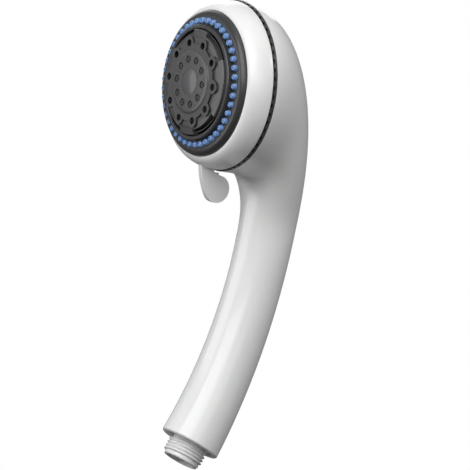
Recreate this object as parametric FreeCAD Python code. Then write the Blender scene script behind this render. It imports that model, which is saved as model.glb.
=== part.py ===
"""Handheld shower head with a five-way turning spray face, millimetres.

Part frame: the origin is the centre of the threaded inlet's end face, +Z runs up the inlet
into the handle, the spray face looks toward -Y and below the horizontal, and X = 0 is the
plane of symmetry.

Head frame, used for every piece of the head: the origin is the centre of the seam between
the back shell and the spray face, +Z ("height") is the spray direction, +Y points to the top
of the face and +X is shared with the part frame. Angles on the face run clockwise from the
top, seen from the front.
"""
import FreeCAD, Part
import math
import os
from FreeCAD import Placement, Rotation, Vector

# ---- fits -------------------------------------------------------------------------------
FIXED_CLEARANCE = 0.05      # between pieces that are pushed together and stay put
RUNNING_CLEARANCE = 0.08    # radial, between a shaft and the bore that turns on it
MOVING_GAP = 0.3            # between pieces that pass each other without touching
WELD = 0.2                  # how far pieces of one moulding run into each other

# ---- handle and back shell --------------------------------------------------------------
WALL = 2.5                  # moulded wall of the handle and back shell
HANDLE_BASE_Z = 10.0        # height of the handle's lower rim above the inlet's end face
HANDLE_LENGTH = 122.5       # along the centre line, from the lower rim to the neck
HANDLE_BEND_R = 306.0       # the centre line is one arc that leans toward the spray side
HANDLE_END_R = 15.8         # half width at the lower rim
HANDLE_WAIST_R = 14.5       # half width at the waist
HANDLE_WAIST_AT = 90.0      # distance of the waist from the lower rim
NECK_FLARE = 0.72           # half width gained over NECK_FLARE_LENGTH above the waist
NECK_FLARE_LENGTH = 45.0
RIM_CHAMFER = 0.6           # on the handle's lower rim
HEAD_REACH = 62.1           # from the neck's centre to the seam's centre, toward -Y
HEAD_RISE = 45.2            # and upward
HEAD_TILT = 25.1            # degrees that the spray direction points below the horizontal
SEAM_R = 44.2               # back shell's radius at the seam
FRONT_PULL = 59.75          # how strongly the throat curve leaves the neck and meets the seam
BACK_NECK_PULL = 72.5       # the same for the curve over the back, at the neck
BACK_SEAM_PULL = 121.5      # and at the seam
BACK_SEAM_LEAN = -1.6       # degrees that the back curve leans at the seam
HANDLE_SECTIONS = 9
HEAD_SECTIONS = 12
BACK_EASE = 0.95            # makes the head widen a little early
WIDTH_WAVE = 1.95           # fullness added to the first half of the head, taken from the second
WIDTH_TUCK = 1.45           # width taken off the middle of the head
SECTION_POINTS = 20

# ---- inlet ------------------------------------------------------------------------------
THREAD_R = 20.955 / 2       # G1/2 male thread, major radius
THREAD_LENGTH = 9.0
UNDERCUT_R = 9.2
UNDERCUT_SLOPE = 0.6         # height over which the thread drops to the undercut
MOUTH_R = 8.1               # bore that holds the filter and the flow restrictor
MOUTH_DEPTH = 10.5
PLUG_R = 11.0               # plain body of the inlet inside the handle
END_RECESS = 2.2            # how far the inlet's collar sits inside the handle's rim
SOCKET_LENGTH = 10.0        # moulded socket in the handle around the inlet
PLUG_NECK_R = 8.5
PLUG_TOP_Z = 31.0
O_RING_DEPTH = 6.0          # lower O-ring below the top of the inlet
RESTRICTOR_THICKNESS = 2.2
FILTER_THICKNESS = 0.8
FILTER_PITCH = 1.7
FILTER_HOLE_R = 0.55
FILTER_BORDER = 2.2
GASKET_THICKNESS = 1.6

# ---- water tube -------------------------------------------------------------------------
TUBE_R = 5.0
TUBE_BORE_R = 3.75
TUBE_START_Z = 14.2
TUBE_STRAIGHT = 17.0        # straight length in the inlet, before the bend
DUCT_DEPTH = 37.2           # depth of the duct's centre line behind the seam
SOCKET_DEPTH = 10.0         # how far the tube enters the valve body
SOCKET_WALL = 1.45
SOCKET_STANDOFF = 2.5       # from the outlet duct to the tube's upper end
O_RING_CORD_R = 0.5

# ---- valve body (fixed) -----------------------------------------------------------------
PLATE_R = 30.0
PLATE_FRONT = -11.0         # heights are measured from the seam along the spray direction
PLATE_THICKNESS = 3.0
PORT_CIRCLE_R = 23.0        # the fixed outlet and the selector's ports lie on this circle
SEAL_R = 4.5
SEAL_BORE_R = 2.6
SEAL_LENGTH = 6.0
SEAL_SPRING_LENGTH = 5.9
SEAL_WIRE_R = 0.35
SEAL_SPRING_TURNS = 4
SEAL_SPRING_CLEARANCE = 0.5
PIVOT_R = 6.0
PIVOT_NOSE_R = 2.9
HUB_BACK = -25.0
VALVE_SCREW_CIRCLE_R = 26.0
VALVE_SCREW_ANGLES = (60, 125, 235, 300)
BOSS_R = 3.5
SCREW_R = 1.4
SCREW_HEAD_R = 2.8
SCREW_HEAD_HEIGHT = 1.8
VALVE_SCREW_LENGTH = 11.0
PIVOT_SCREW_R = 1.75
PIVOT_SCREW_HEAD_R = 3.5
PIVOT_SCREW_HEAD_HEIGHT = 2.4
PIVOT_SCREW_TIP = 4.0       # solid hub left beyond the screw's tip
WASHER_R = 4.0
WASHER_THICKNESS = 0.8

# ---- detent -----------------------------------------------------------------------------
DETENT_CIRCLE_R = 14.5
PLUNGER_R = 1.5
PLUNGER_LENGTH = 7.9
NOTCH_R = 1.75
NOTCH_DEPTH = 0.9
DETENT_SPRING_LENGTH = 6.6
DETENT_WIRE_R = 0.25
DETENT_SPRING_TURNS = 7
DETENT_SPRING_CLEARANCE = 0.1
DETENT_HOUSING_WALL = 1.6
MODE_STEP = 30.0            # degrees between spray modes
MODE_COUNT = 5
STOP_HALF_ANGLE = 4.0       # degrees, half the width of each stop lug
STOP_SLACK = 0.8            # degrees left between the lugs at each end of the travel
STOP_WIDTH = 2.5

# ---- distributor (turns) ----------------------------------------------------------------
DISC_BACK = -9.0
DISC_THICKNESS = 3.0
WEB_BACK = -1.0             # web that the pivot screw holds
WEB_THICKNESS = 2.0
CHAMBER_TOP = 9.0           # top of the ring walls
RING_WALL = 1.6
HUB_R = 8.6
HUB_TOP = 7.0
PORT_R = 2.75
WINDOW_HEIGHT = 5.0         # openings through the ring walls
WINDOW_HALF_WIDTH = 4.0     # degrees
MIST_DUCT_R = 2.2
MIST_BORE_R = 1.2
FACE_SCREW_CIRCLE_R = 22.4
FACE_SCREW_ANGLES = (30, 85, 275, 330)
FACE_BOSS_R = 2.7
FACE_SCREW_LENGTH = 21.0

# ---- spray face (turns) -----------------------------------------------------------------
RING_BACK = 1.1             # back edge of the white front ring
RING_FRONT = 13.4
RING_STEP_IN = 0.8          # how far the ring's back edge stands inside the seam radius
RING_CROWN = 6.0            # radius lost between the ring's back edge and its front lip
RING_SKIRT = 3.0            # bore of the ring inside the seam radius
RING_SHOULDER = 10.1        # inner shoulder that the face plate's flange rests on
FLANGE_OVERLAP = 1.8        # flange radius beyond the ring's front opening
FLANGE_THICKNESS = 2.0
SNAP_BEAD = 0.7
BEZEL_WIDTH = 3.3           # rounded dark border inside the ring
BEZEL_HEIGHT = 3.2
FACE_TOP = 16.4             # height of the flat that the rubber nozzles stand on
FACE_THICKNESS = 2.0
FACE_BACK = 10.0
FACE_LEDGE = 0.8            # the face holds the swirl plate's rim by this much
FACE_LIP = 0.4
NOZZLE_COUNT = 42
NOZZLE_INSET = 5.6          # nozzle circle inside the bezel's outer edge
NOZZLE_BASE_R = 1.75
NOZZLE_TIP_R = 1.4
NOZZLE_TOP = 18.3
NOZZLE_BORE_R = 0.5
NOZZLE_ROUND = 0.6
MEMBRANE_THICKNESS = 2.0
BACKING_THICKNESS = 1.1
FEED_HOLE_R = 1.0
MEMBRANE_HALF_WIDTH = 2.9
COLLAR_OUTSIDE = 2.2        # from the nozzle circle in to the collar's outer face
COLLAR_THICKNESS = 2.2
COLLAR_TOP = 19.6
FLOOR_TOP = 15.0            # floor inside the collar, which the insert stands on
GASKET_TOP = FACE_BACK
GASKET_LINK_WIDTH = 3.0
GASKET_LINK_ANGLES = (60, 120, 240, 300)
SWIRL_R = 17.0
SWIRL_THICKNESS = 1.8
SWIRL_SLOTS = 6
SWIRL_SLOT_START = 8.5      # radius at the inner end of each slot
SWIRL_SLOT_LENGTH = 5.0
SWIRL_SLOT_WIDTH = 1.4
SWIRL_SLOT_SLANT = 35       # degrees

# ---- spray insert -----------------------------------------------------------------------
INSERT_GAP = 0.4            # dark gap between the insert and the collar
INSERT_EDGE_TOP = 20.7
INSERT_SKIRT = 3.8
INSERT_TOP = 22.5
STEP_BASE = 21.6            # height of the insert's lower tier beside the scalloped step
CHAMBER_CEILING = 20.2
JET_COUNT = 10              # pulse jets, and the same number of mist jets
JET_PHASE = 18.0
JET_INSET = 6.8             # jet circle inside the insert's edge
JET_R = 1.85
SCALLOP_R = 3.6
SCALLOP_DISC_INSET = 0.4    # the scalloped tier's body lies this far inside the jet circle
WINDOW_ANGLES = (35, 145, 215, 325)
WINDOW_HALF_ANGLE = 22.0
WINDOW_DEPTH = 2.5
WINDOW_RIB = 0.6
WINDOW_SLOT = 0.8
MIST_DISC_R = 16.4
MIST_DISC_BACK = 21.3
MIST_DISC_SHOULDER = 22.9
MIST_DISC_TOP = 23.4
MIST_CIRCLE_R = 11.7
MIST_PIT_R = 1.9
MIST_BOSS_R = 1.05
MIST_PIT_DEPTH = 0.6
MIST_HOLE_R = 0.45
CAP_R = 6.6
CAP_TOP = 24.0
CAP_EDGE_TOP = 23.3
CAP_FLOOR = 22.6
POST_R = 5.6
POST_BORE_R = 4.2
POST_BOTTOM = 4.0

# ---- turbine ----------------------------------------------------------------------------
ROTOR_BOTTOM = 12.3
ROTOR_TOP = 19.4
ROTOR_HUB_WALL = 1.5
SHUTTER_THICKNESS = 1.0
SHUTTER_OPEN_ANGLE = 150.0
BLADE_COUNT = 8
BLADE_THICKNESS = 1.0

# ---- seam ring --------------------------------------------------------------------------
SEAM_HALF = 1.07            # half width of the dark band at the seam
SEAM_RING_STEP_IN = 0.4
SEAM_RING_WIDTH = 4.6
SEAM_SPIGOT_DEPTH = 2.0
SEAM_SPIGOT_THICKNESS = 1.8
SEAM_SPIGOT_INSET = 1.0     # the spigot clears the shell's wall, which closes in behind
SEAM_NOTCHES = 60
SEAM_NOTCH_DEPTH = 1.0
SEAM_NOTCH_SHARE = 0.42

# ---- lever ------------------------------------------------------------------------------
LEVER_THICKNESS = 3.4
LEVER_LOBE_R = 7.1
LEVER_LOBE_HEIGHT = -2.2    # lobe centre, measured from the seam along the spray direction
LEVER_LOBE_DROP = 9.2       # lobe centre below the seam radius
LEVER_FRONT_R = 42.0        # radius of the long front edge
LEVER_TANGENT = -31.0       # degrees, where the front edge runs into the lobe
LEVER_OVERHANG = 0.7        # gap between the lever and the seam radius
LEVER_LOBE_END = 95         # degrees, where the lobe's arc ends on the handle side

# ---- sizes that follow from the ones above ----------------------------------------------
TILT = math.radians(HEAD_TILT)
SPRAY = Vector(0, -math.cos(TILT), -math.sin(TILT))
FACE_UP = Vector(0, -math.sin(TILT), math.cos(TILT))
NECK_ANGLE = HANDLE_LENGTH / HANDLE_BEND_R
NECK_CENTRE = Vector(0, -HANDLE_BEND_R * (1 - math.cos(NECK_ANGLE)),
                     HANDLE_BASE_Z + HANDLE_BEND_R * math.sin(NECK_ANGLE))
SEAM_CENTRE = NECK_CENTRE + Vector(0, -HEAD_REACH, HEAD_RISE)

PLATE_BACK = PLATE_FRONT - PLATE_THICKNESS
DISC_FRONT = DISC_BACK + DISC_THICKNESS
MODES = [MODE_STEP * (i - (MODE_COUNT - 1) / 2) for i in range(MODE_COUNT)]
TRAVEL = MODES[-1]
RING_R = SEAM_R - RING_STEP_IN
OPENING_R = RING_R - RING_CROWN
FLANGE_R = OPENING_R + FLANGE_OVERLAP
BEZEL_R = OPENING_R - FIXED_CLEARANCE
NOZZLE_CIRCLE_R = BEZEL_R - NOZZLE_INSET
MEMBRANE_OUTER_R = NOZZLE_CIRCLE_R + MEMBRANE_HALF_WIDTH
MEMBRANE_INNER_R = NOZZLE_CIRCLE_R - MEMBRANE_HALF_WIDTH
COLLAR_R = NOZZLE_CIRCLE_R - COLLAR_OUTSIDE
COLLAR_BORE_R = COLLAR_R - COLLAR_THICKNESS
INSERT_R = COLLAR_BORE_R - INSERT_GAP
SKIRT_BORE_R = INSERT_R - INSERT_SKIRT
JET_CIRCLE_R = INSERT_R - JET_INSET
WALL_A_R = SWIRL_R + RING_WALL
WALL_B_R = MEMBRANE_INNER_R - FIXED_CLEARANCE - RING_WALL
WALL_C_R = MEMBRANE_OUTER_R + FIXED_CLEARANCE
POST_SOCKET_R = POST_R + FIXED_CLEARANCE
PLUNGER_TIP = DISC_BACK - 2 * FIXED_CLEARANCE
TUBE_SOCKET_R = TUBE_R + FIXED_CLEARANCE
LOWER_O_RING_Z = PLUG_TOP_Z - O_RING_DEPTH


# ---- shape helpers ----------------------------------------------------------------------
def polar(radius, angle, height=0.0):
    """A point of the head frame, its angle clockwise from the top of the face."""
    turn = math.radians(angle)
    return Vector(radius * math.sin(turn), radius * math.cos(turn), height)


def on_head(shape):
    """A copy of a head-frame shape, placed in the part frame."""
    placed = shape.copy()
    head = Placement(SEAM_CENTRE, Rotation(Vector(1, 0, 0), 90 + HEAD_TILT))
    placed.Placement = head.multiply(shape.Placement)
    return placed


def revolve(profile):
    """Solid of revolution about +Z from (radius, height) corners and ready-made edges."""
    edges = []
    last = None
    for item in profile + [profile[0]]:
        if isinstance(item, tuple):
            point = Vector(item[0], 0, item[1])
            if last is not None and (point - last).Length > 1e-6:
                edges.append(Part.makeLine(last, point))
            last = point
        else:
            start, end = item.valueAt(item.FirstParameter), item.valueAt(item.LastParameter)
            if last is not None and (start - last).Length > 1e-6:
                edges.append(Part.makeLine(last, start))
            edges.append(item)
            last = end
    face = Part.Face(Part.Wire(Part.__sortEdges__(edges)))
    solid = face.revolve(Vector(0, 0, 0), Vector(0, 0, 1), 360)
    return solid if solid.Volume > 0 else solid.reversed()


def crown(centre_r, centre_h, half_r, half_h):
    """Quarter ellipse from (centre_r + half_r, centre_h) up to (centre_r, centre_h + half_h)."""
    count = 9
    points = []
    for i in range(count):
        turn = math.radians(90.0 * i / (count - 1))
        points.append(Vector(centre_r + half_r * math.cos(turn), 0,
                             centre_h + half_h * math.sin(turn)))
    curve = Part.BSplineCurve()
    curve.interpolate(points, InitialTangent=Vector(0, 0, 1), FinalTangent=Vector(-1, 0, 0))
    return curve.toShape()


def arc(start, middle, end):
    """Edge through three (radius, height) points."""
    return Part.Arc(*[Vector(r, 0, h) for r, h in (start, middle, end)]).toShape()


def dome(edge_r, edge_height, top_height):
    """Arc from a rim up to the axis, centred on the axis."""
    rise = top_height - edge_height
    sphere_r = (rise ** 2 + edge_r ** 2) / (2 * rise)
    middle_r = 0.5 * edge_r
    middle_height = top_height - sphere_r + math.sqrt(sphere_r ** 2 - middle_r ** 2)
    return arc((edge_r, edge_height), (middle_r, middle_height), (0, top_height))


def rod(radius, bottom, top, centre=Vector(0, 0, 0)):
    """Cylinder along the height, between two heights."""
    return Part.makeCylinder(radius, top - bottom, Vector(centre.x, centre.y, bottom))


def ring(inner, outer, bottom, top):
    """Plain ring between two radii and two heights."""
    return rod(outer, bottom, top).cut(rod(inner, bottom, top))


def sector(inner, outer, bottom, top, angle, half_angle):
    """Piece of a ring, centred on an angle of the face."""
    whole = Part.makeCylinder(outer, top - bottom, Vector(0, 0, bottom), Vector(0, 0, 1),
                              2 * half_angle)
    piece = whole.cut(rod(inner, bottom, top))
    piece.rotate(Vector(0, 0, 0), Vector(0, 0, 1), 90 - angle - half_angle)
    return piece


def spokes(inner, outer, width, bottom, top, angles):
    """Straight radial ribs, one at each angle."""
    made = []
    for angle in angles:
        rib = Part.makeBox(width, outer - inner, top - bottom, Vector(-width / 2, inner, bottom))
        rib.rotate(Vector(0, 0, 0), Vector(0, 0, 1), -angle)
        made.append(rib)
    return made


def tapered(base_r, tip_r, bottom, top, centre, edge_round):
    """Upright cone with a rounded tip."""
    cone = Part.makeCone(base_r, tip_r, top - bottom, Vector(centre.x, centre.y, bottom))
    rims = [e for e in cone.Edges if abs(e.BoundBox.ZMin - top) < 1e-6 and e.BoundBox.ZLength < 1e-6]
    return cone.makeFillet(edge_round, rims)


def coil(mean_r, wire_r, length, turns, bottom, centre):
    """Compression spring whose wire stays between bottom and bottom + length."""
    height = length - 2 * wire_r
    helix = Part.makeLongHelix(height / turns, height, mean_r)
    start = helix.Edges[0]
    profile = Part.Wire(Part.makeCircle(wire_r, start.valueAt(start.FirstParameter),
                                        start.tangentAt(start.FirstParameter)))
    spring = Part.Wire(helix.Edges).makePipeShell([profile], True, True)
    spring.translate(Vector(centre.x, centre.y, bottom + wire_r))
    return spring


def pan_screw(shank_r, head_r, head_height, length, seat, direction, centre):
    """Pan-head screw: the head stands on the seat height and the shank runs the other way."""
    head = Part.makeCylinder(head_r, head_height, Vector(0, 0, 0))
    top_rim = [e for e in head.Edges if abs(e.BoundBox.ZMin - head_height) < 1e-6
               and e.BoundBox.ZLength < 1e-6]
    head = head.makeFillet(0.4 * head_height, top_rim)
    shank = Part.makeCylinder(shank_r, length, Vector(0, 0, -length))
    slot_depth = 0.5 * head_height
    bars = [Part.makeBox(0.35 * shank_r, 1.1 * head_r, slot_depth,
                         Vector(-0.175 * shank_r, -0.55 * head_r, head_height - slot_depth))]
    bars.append(bars[0].copy())
    bars[1].rotate(Vector(0, 0, 0), Vector(0, 0, 1), 90)
    screw = head.fuse(shank).cut(bars[0]).cut(bars[1])
    if direction < 0:
        screw.rotate(Vector(0, 0, 0), Vector(1, 0, 0), 180)
    screw.translate(Vector(centre.x, centre.y, seat))
    return screw.removeSplitter()


# ---- handle and back shell --------------------------------------------------------------
def handle_station(along):
    """Front point, back point and half width of the round handle at a centre-line distance."""
    turn = along / HANDLE_BEND_R
    outward = Vector(0, math.cos(turn), math.sin(turn))
    centre = Vector(0, -HANDLE_BEND_R, HANDLE_BASE_Z) + outward * HANDLE_BEND_R
    if along < HANDLE_WAIST_AT:
        flare = (HANDLE_END_R - HANDLE_WAIST_R) * (along / HANDLE_WAIST_AT - 1) ** 2
    else:
        flare = NECK_FLARE * ((along - HANDLE_WAIST_AT) / NECK_FLARE_LENGTH) ** 2
    half = HANDLE_WAIST_R + flare
    return centre - outward * half, centre + outward * half, half


def blend(start, start_pull, end, end_pull, share):
    """Point on the cubic curve that leaves start along start_pull and ends along end_pull."""
    s2, s3 = share ** 2, share ** 3
    return (start * (2 * s3 - 3 * s2 + 1) + start_pull * (s3 - 2 * s2 + share)
            + end * (3 * s2 - 2 * s3) + end_pull * (s3 - s2))


def head_station(share):
    """The same three values for the back shell, from the neck (0) to the seam (1)."""
    front, back, half = handle_station(HANDLE_LENGTH)
    along = Vector(0, -math.sin(NECK_ANGLE), math.cos(NECK_ANGLE))
    lean = TILT + math.radians(BACK_SEAM_LEAN)
    back_end = Vector(0, -math.cos(lean), -math.sin(lean)) * BACK_SEAM_PULL
    throat = blend(front, along * FRONT_PULL, SEAM_CENTRE - FACE_UP * SEAM_R,
                   SPRAY * FRONT_PULL, share)
    crest = blend(back, along * BACK_NECK_PULL, SEAM_CENTRE + FACE_UP * SEAM_R, back_end, share)
    eased = share ** BACK_EASE
    widening = 3 * eased ** 2 - 2 * eased ** 3
    waviness = WIDTH_WAVE * math.sin(2 * math.pi * share) - WIDTH_TUCK * math.sin(math.pi * share)
    return throat, crest, half + (SEAM_R - half) * widening + waviness


def section(station, inset):
    """Closed curve of one elliptical section, moved in by a wall thickness."""
    front, back, half_x = station
    middle = (front + back) * 0.5
    half = (back - front) * 0.5
    half = half * (1 - inset / half.Length)
    points = []
    for i in range(SECTION_POINTS):
        turn = 2 * math.pi * i / SECTION_POINTS
        points.append(middle - half * math.cos(turn)
                      + Vector((half_x - inset) * math.sin(turn), 0, 0))
    curve = Part.BSplineCurve()
    curve.interpolate(points, PeriodicFlag=True,
                      Parameters=[float(i) for i in range(SECTION_POINTS + 1)])
    return curve


def skin(inset, start):
    """Solid bounded by the handle and back shell's surface, from a distance up the handle."""
    stations = [handle_station(start + (HANDLE_LENGTH - start) * i / HANDLE_SECTIONS)
                for i in range(HANDLE_SECTIONS)]
    stations += [head_station(i / HEAD_SECTIONS) for i in range(HEAD_SECTIONS + 1)]
    middles = [(front + back) * 0.5 for front, back, half in stations]
    distances = [0.0]
    for near, far in zip(middles, middles[1:]):
        distances.append(distances[-1] + (far - near).Length)
    curves = [section(station, inset) for station in stations]
    rails = []
    for number in range(1, curves[0].NbPoles + 1):
        rail = Part.BSplineCurve()
        rail.interpolate([curve.getPole(number) for curve in curves], Parameters=distances)
        rails.append(rail)
    surface = Part.BSplineSurface()
    surface.buildFromPolesMultsKnots(
        [[rail.getPole(row) for rail in rails] for row in range(1, rails[0].NbPoles + 1)],
        rails[0].getMultiplicities(), curves[0].getMultiplicities(),
        rails[0].getKnots(), curves[0].getKnots(), False, True,
        rails[0].Degree, curves[0].Degree)
    side = surface.toShape()
    ends = [Part.Face(Part.Wire(edge)) for edge in side.Edges if edge.isClosed()]
    shell = Part.makeShell([side] + ends)
    shell.sewShape()
    solid = Part.Solid(shell)
    return solid if solid.Volume > 0 else solid.reversed()


def handle_shell():
    """One moulding: hollow handle, back shell, inlet socket and screw bosses."""
    outside = skin(0.0, 0.0)
    chamfer_r = HANDLE_END_R - RIM_CHAMFER
    outside = outside.cut(revolve([
        (chamfer_r, HANDLE_BASE_Z), (chamfer_r + 2 * RIM_CHAMFER, HANDLE_BASE_Z + 2 * RIM_CHAMFER),
        (chamfer_r + 4 * RIM_CHAMFER, HANDLE_BASE_Z + 2 * RIM_CHAMFER),
        (chamfer_r + 4 * RIM_CHAMFER, HANDLE_BASE_Z - RIM_CHAMFER),
        (chamfer_r, HANDLE_BASE_Z - RIM_CHAMFER)]))
    front_cut = on_head(rod(2 * SEAM_R, -SEAM_HALF, SEAM_R))
    socket_bottom = HANDLE_BASE_Z + END_RECESS
    shell = outside.cut(skin(WALL, END_RECESS + SOCKET_LENGTH))
    shell = shell.cut(rod(HANDLE_END_R - WALL, 0, socket_bottom))
    shell = shell.cut(rod(PLUG_R + FIXED_CLEARANCE, 0, socket_bottom + SOCKET_LENGTH + WALL))
    bosses = []
    holes = []
    for angle in VALVE_SCREW_ANGLES:
        centre = polar(VALVE_SCREW_CIRCLE_R, angle)
        bosses.append(on_head(rod(BOSS_R, -2 * SEAM_R, PLATE_BACK - FIXED_CLEARANCE, centre)))
        deep = PLATE_BACK - VALVE_SCREW_LENGTH
        holes.append(on_head(rod(SCREW_R + FIXED_CLEARANCE, deep, PLATE_BACK, centre)))
    shell = shell.fuse([boss.common(outside) for boss in bosses])
    shell = shell.cut([front_cut] + holes)
    return shell.removeSplitter()


# ---- inlet and water way ----------------------------------------------------------------
def inlet_spigot():
    """Threaded inlet with the seats of the filter and restrictor and the tube's socket."""
    collar_z = HANDLE_BASE_Z + END_RECESS
    return revolve([
        (MOUTH_R, 0), (THREAD_R, 0), (THREAD_R, THREAD_LENGTH),
        (UNDERCUT_R, THREAD_LENGTH + UNDERCUT_SLOPE), (UNDERCUT_R, collar_z), (PLUG_R, collar_z),
        (PLUG_R, collar_z + SOCKET_LENGTH), (PLUG_NECK_R, collar_z + SOCKET_LENGTH),
        (PLUG_NECK_R, PLUG_TOP_Z), (TUBE_SOCKET_R, PLUG_TOP_Z), (TUBE_SOCKET_R, TUBE_START_Z),
        (TUBE_BORE_R, TUBE_START_Z), (TUBE_BORE_R, MOUTH_DEPTH), (MOUTH_R, MOUTH_DEPTH),
    ]).cut(o_ring_groove(LOWER_O_RING_Z))


def o_ring_groove(height):
    """Ring-shaped groove that an O-ring on the tube sits in, about the inlet's axis."""
    return ring(TUBE_R, TUBE_R + 2 * O_RING_CORD_R + FIXED_CLEARANCE,
                height - O_RING_CORD_R - FIXED_CLEARANCE, height + O_RING_CORD_R + FIXED_CLEARANCE)


def o_ring(height, inner_r):
    """Torus whose inner face just meets a shaft."""
    return Part.makeTorus(inner_r + O_RING_CORD_R, O_RING_CORD_R, Vector(0, 0, height))


def flow_restrictor():
    """Disc with a ring of small holes, at the bottom of the inlet's mouth."""
    top = MOUTH_DEPTH - FIXED_CLEARANCE
    disc = rod(MOUTH_R - FIXED_CLEARANCE, top - RESTRICTOR_THICKNESS, top)
    holes = [rod(0.8, 0, top, polar(0.6 * TUBE_BORE_R, 60 * i)) for i in range(6)]
    return disc.cut(holes)


def filter_gasket():
    """Rubber washer between the restrictor and the filter screen."""
    top = MOUTH_DEPTH - 2 * FIXED_CLEARANCE - RESTRICTOR_THICKNESS
    return ring(TUBE_R, MOUTH_R - FIXED_CLEARANCE, top - GASKET_THICKNESS, top)


def inlet_filter():
    """Perforated screen that keeps grit out of the nozzles."""
    top = MOUTH_DEPTH - 3 * FIXED_CLEARANCE - RESTRICTOR_THICKNESS - GASKET_THICKNESS
    disc = rod(MOUTH_R - FIXED_CLEARANCE, top - FILTER_THICKNESS, top)
    holes = []
    for row in range(-3, 4):
        for column in range(-3, 4):
            spot = Vector((column + 0.5 * (row % 2)) * FILTER_PITCH,
                          row * FILTER_PITCH * math.cos(math.radians(30)), 0)
            if spot.Length < MOUTH_R - FILTER_BORDER:
                holes.append(rod(FILTER_HOLE_R, 0, top, spot))
    return disc.cut(holes)


def tube_path():
    """Centre line of the water tube: up the inlet, one long bend, straight into the valve."""
    straight_top = TUBE_START_Z + TUBE_STRAIGHT
    offset = Vector(0, 0, straight_top) - SEAM_CENTRE
    missing = -(offset.dot(SPRAY)) - DUCT_DEPTH
    turn_span = math.cos(TILT) * (1 - math.cos(TILT)) - math.sin(TILT) ** 2
    bend_r = missing / turn_span
    start = Vector(0, 0, TUBE_START_Z)
    bend_start = Vector(0, 0, straight_top)
    centre = bend_start + Vector(0, -bend_r, 0)
    bend_middle = centre + Vector(0, math.cos(TILT / 2), math.sin(TILT / 2)) * bend_r
    bend_end = centre + Vector(0, math.cos(TILT), math.sin(TILT)) * bend_r
    end = on_head_point(Vector(0, -tube_end_drop(), -DUCT_DEPTH))
    edges = [Part.makeLine(start, bend_start),
             Part.Arc(bend_start, bend_middle, bend_end).toShape(),
             Part.makeLine(bend_end, end)]
    return Part.Wire(edges)


def on_head_point(point):
    """A head-frame point, in the part frame."""
    return SEAM_CENTRE + Vector(point.x, 0, 0) + FACE_UP * point.y + SPRAY * point.z


def tube_end_drop():
    """Distance of the tube's upper end below the head's centre, along the face."""
    return PORT_CIRCLE_R + TUBE_R + SOCKET_WALL + SOCKET_STANDOFF


def water_tube():
    """Bent pipe from the inlet to the valve body."""
    path = tube_path()
    start = Vector(0, 0, TUBE_START_Z + FIXED_CLEARANCE)
    outer = path.makePipeShell([Part.Wire(Part.makeCircle(TUBE_R, start, Vector(0, 0, 1)))],
                               True, False)
    inner = path.makePipeShell([Part.Wire(Part.makeCircle(TUBE_BORE_R, start, Vector(0, 0, 1)))],
                               True, False)
    return outer.cut(inner)


def tube_o_rings():
    """One O-ring at each end of the tube."""
    upper = Part.makeTorus(TUBE_R + O_RING_CORD_R, O_RING_CORD_R, upper_o_ring_centre(),
                           FACE_UP)
    return Part.makeCompound([o_ring(LOWER_O_RING_Z, TUBE_R), upper])


def upper_o_ring_centre():
    """Centre of the O-ring in the valve body's socket."""
    return on_head_point(Vector(0, -tube_end_drop() - 0.5 * SOCKET_DEPTH, -DUCT_DEPTH))


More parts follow.
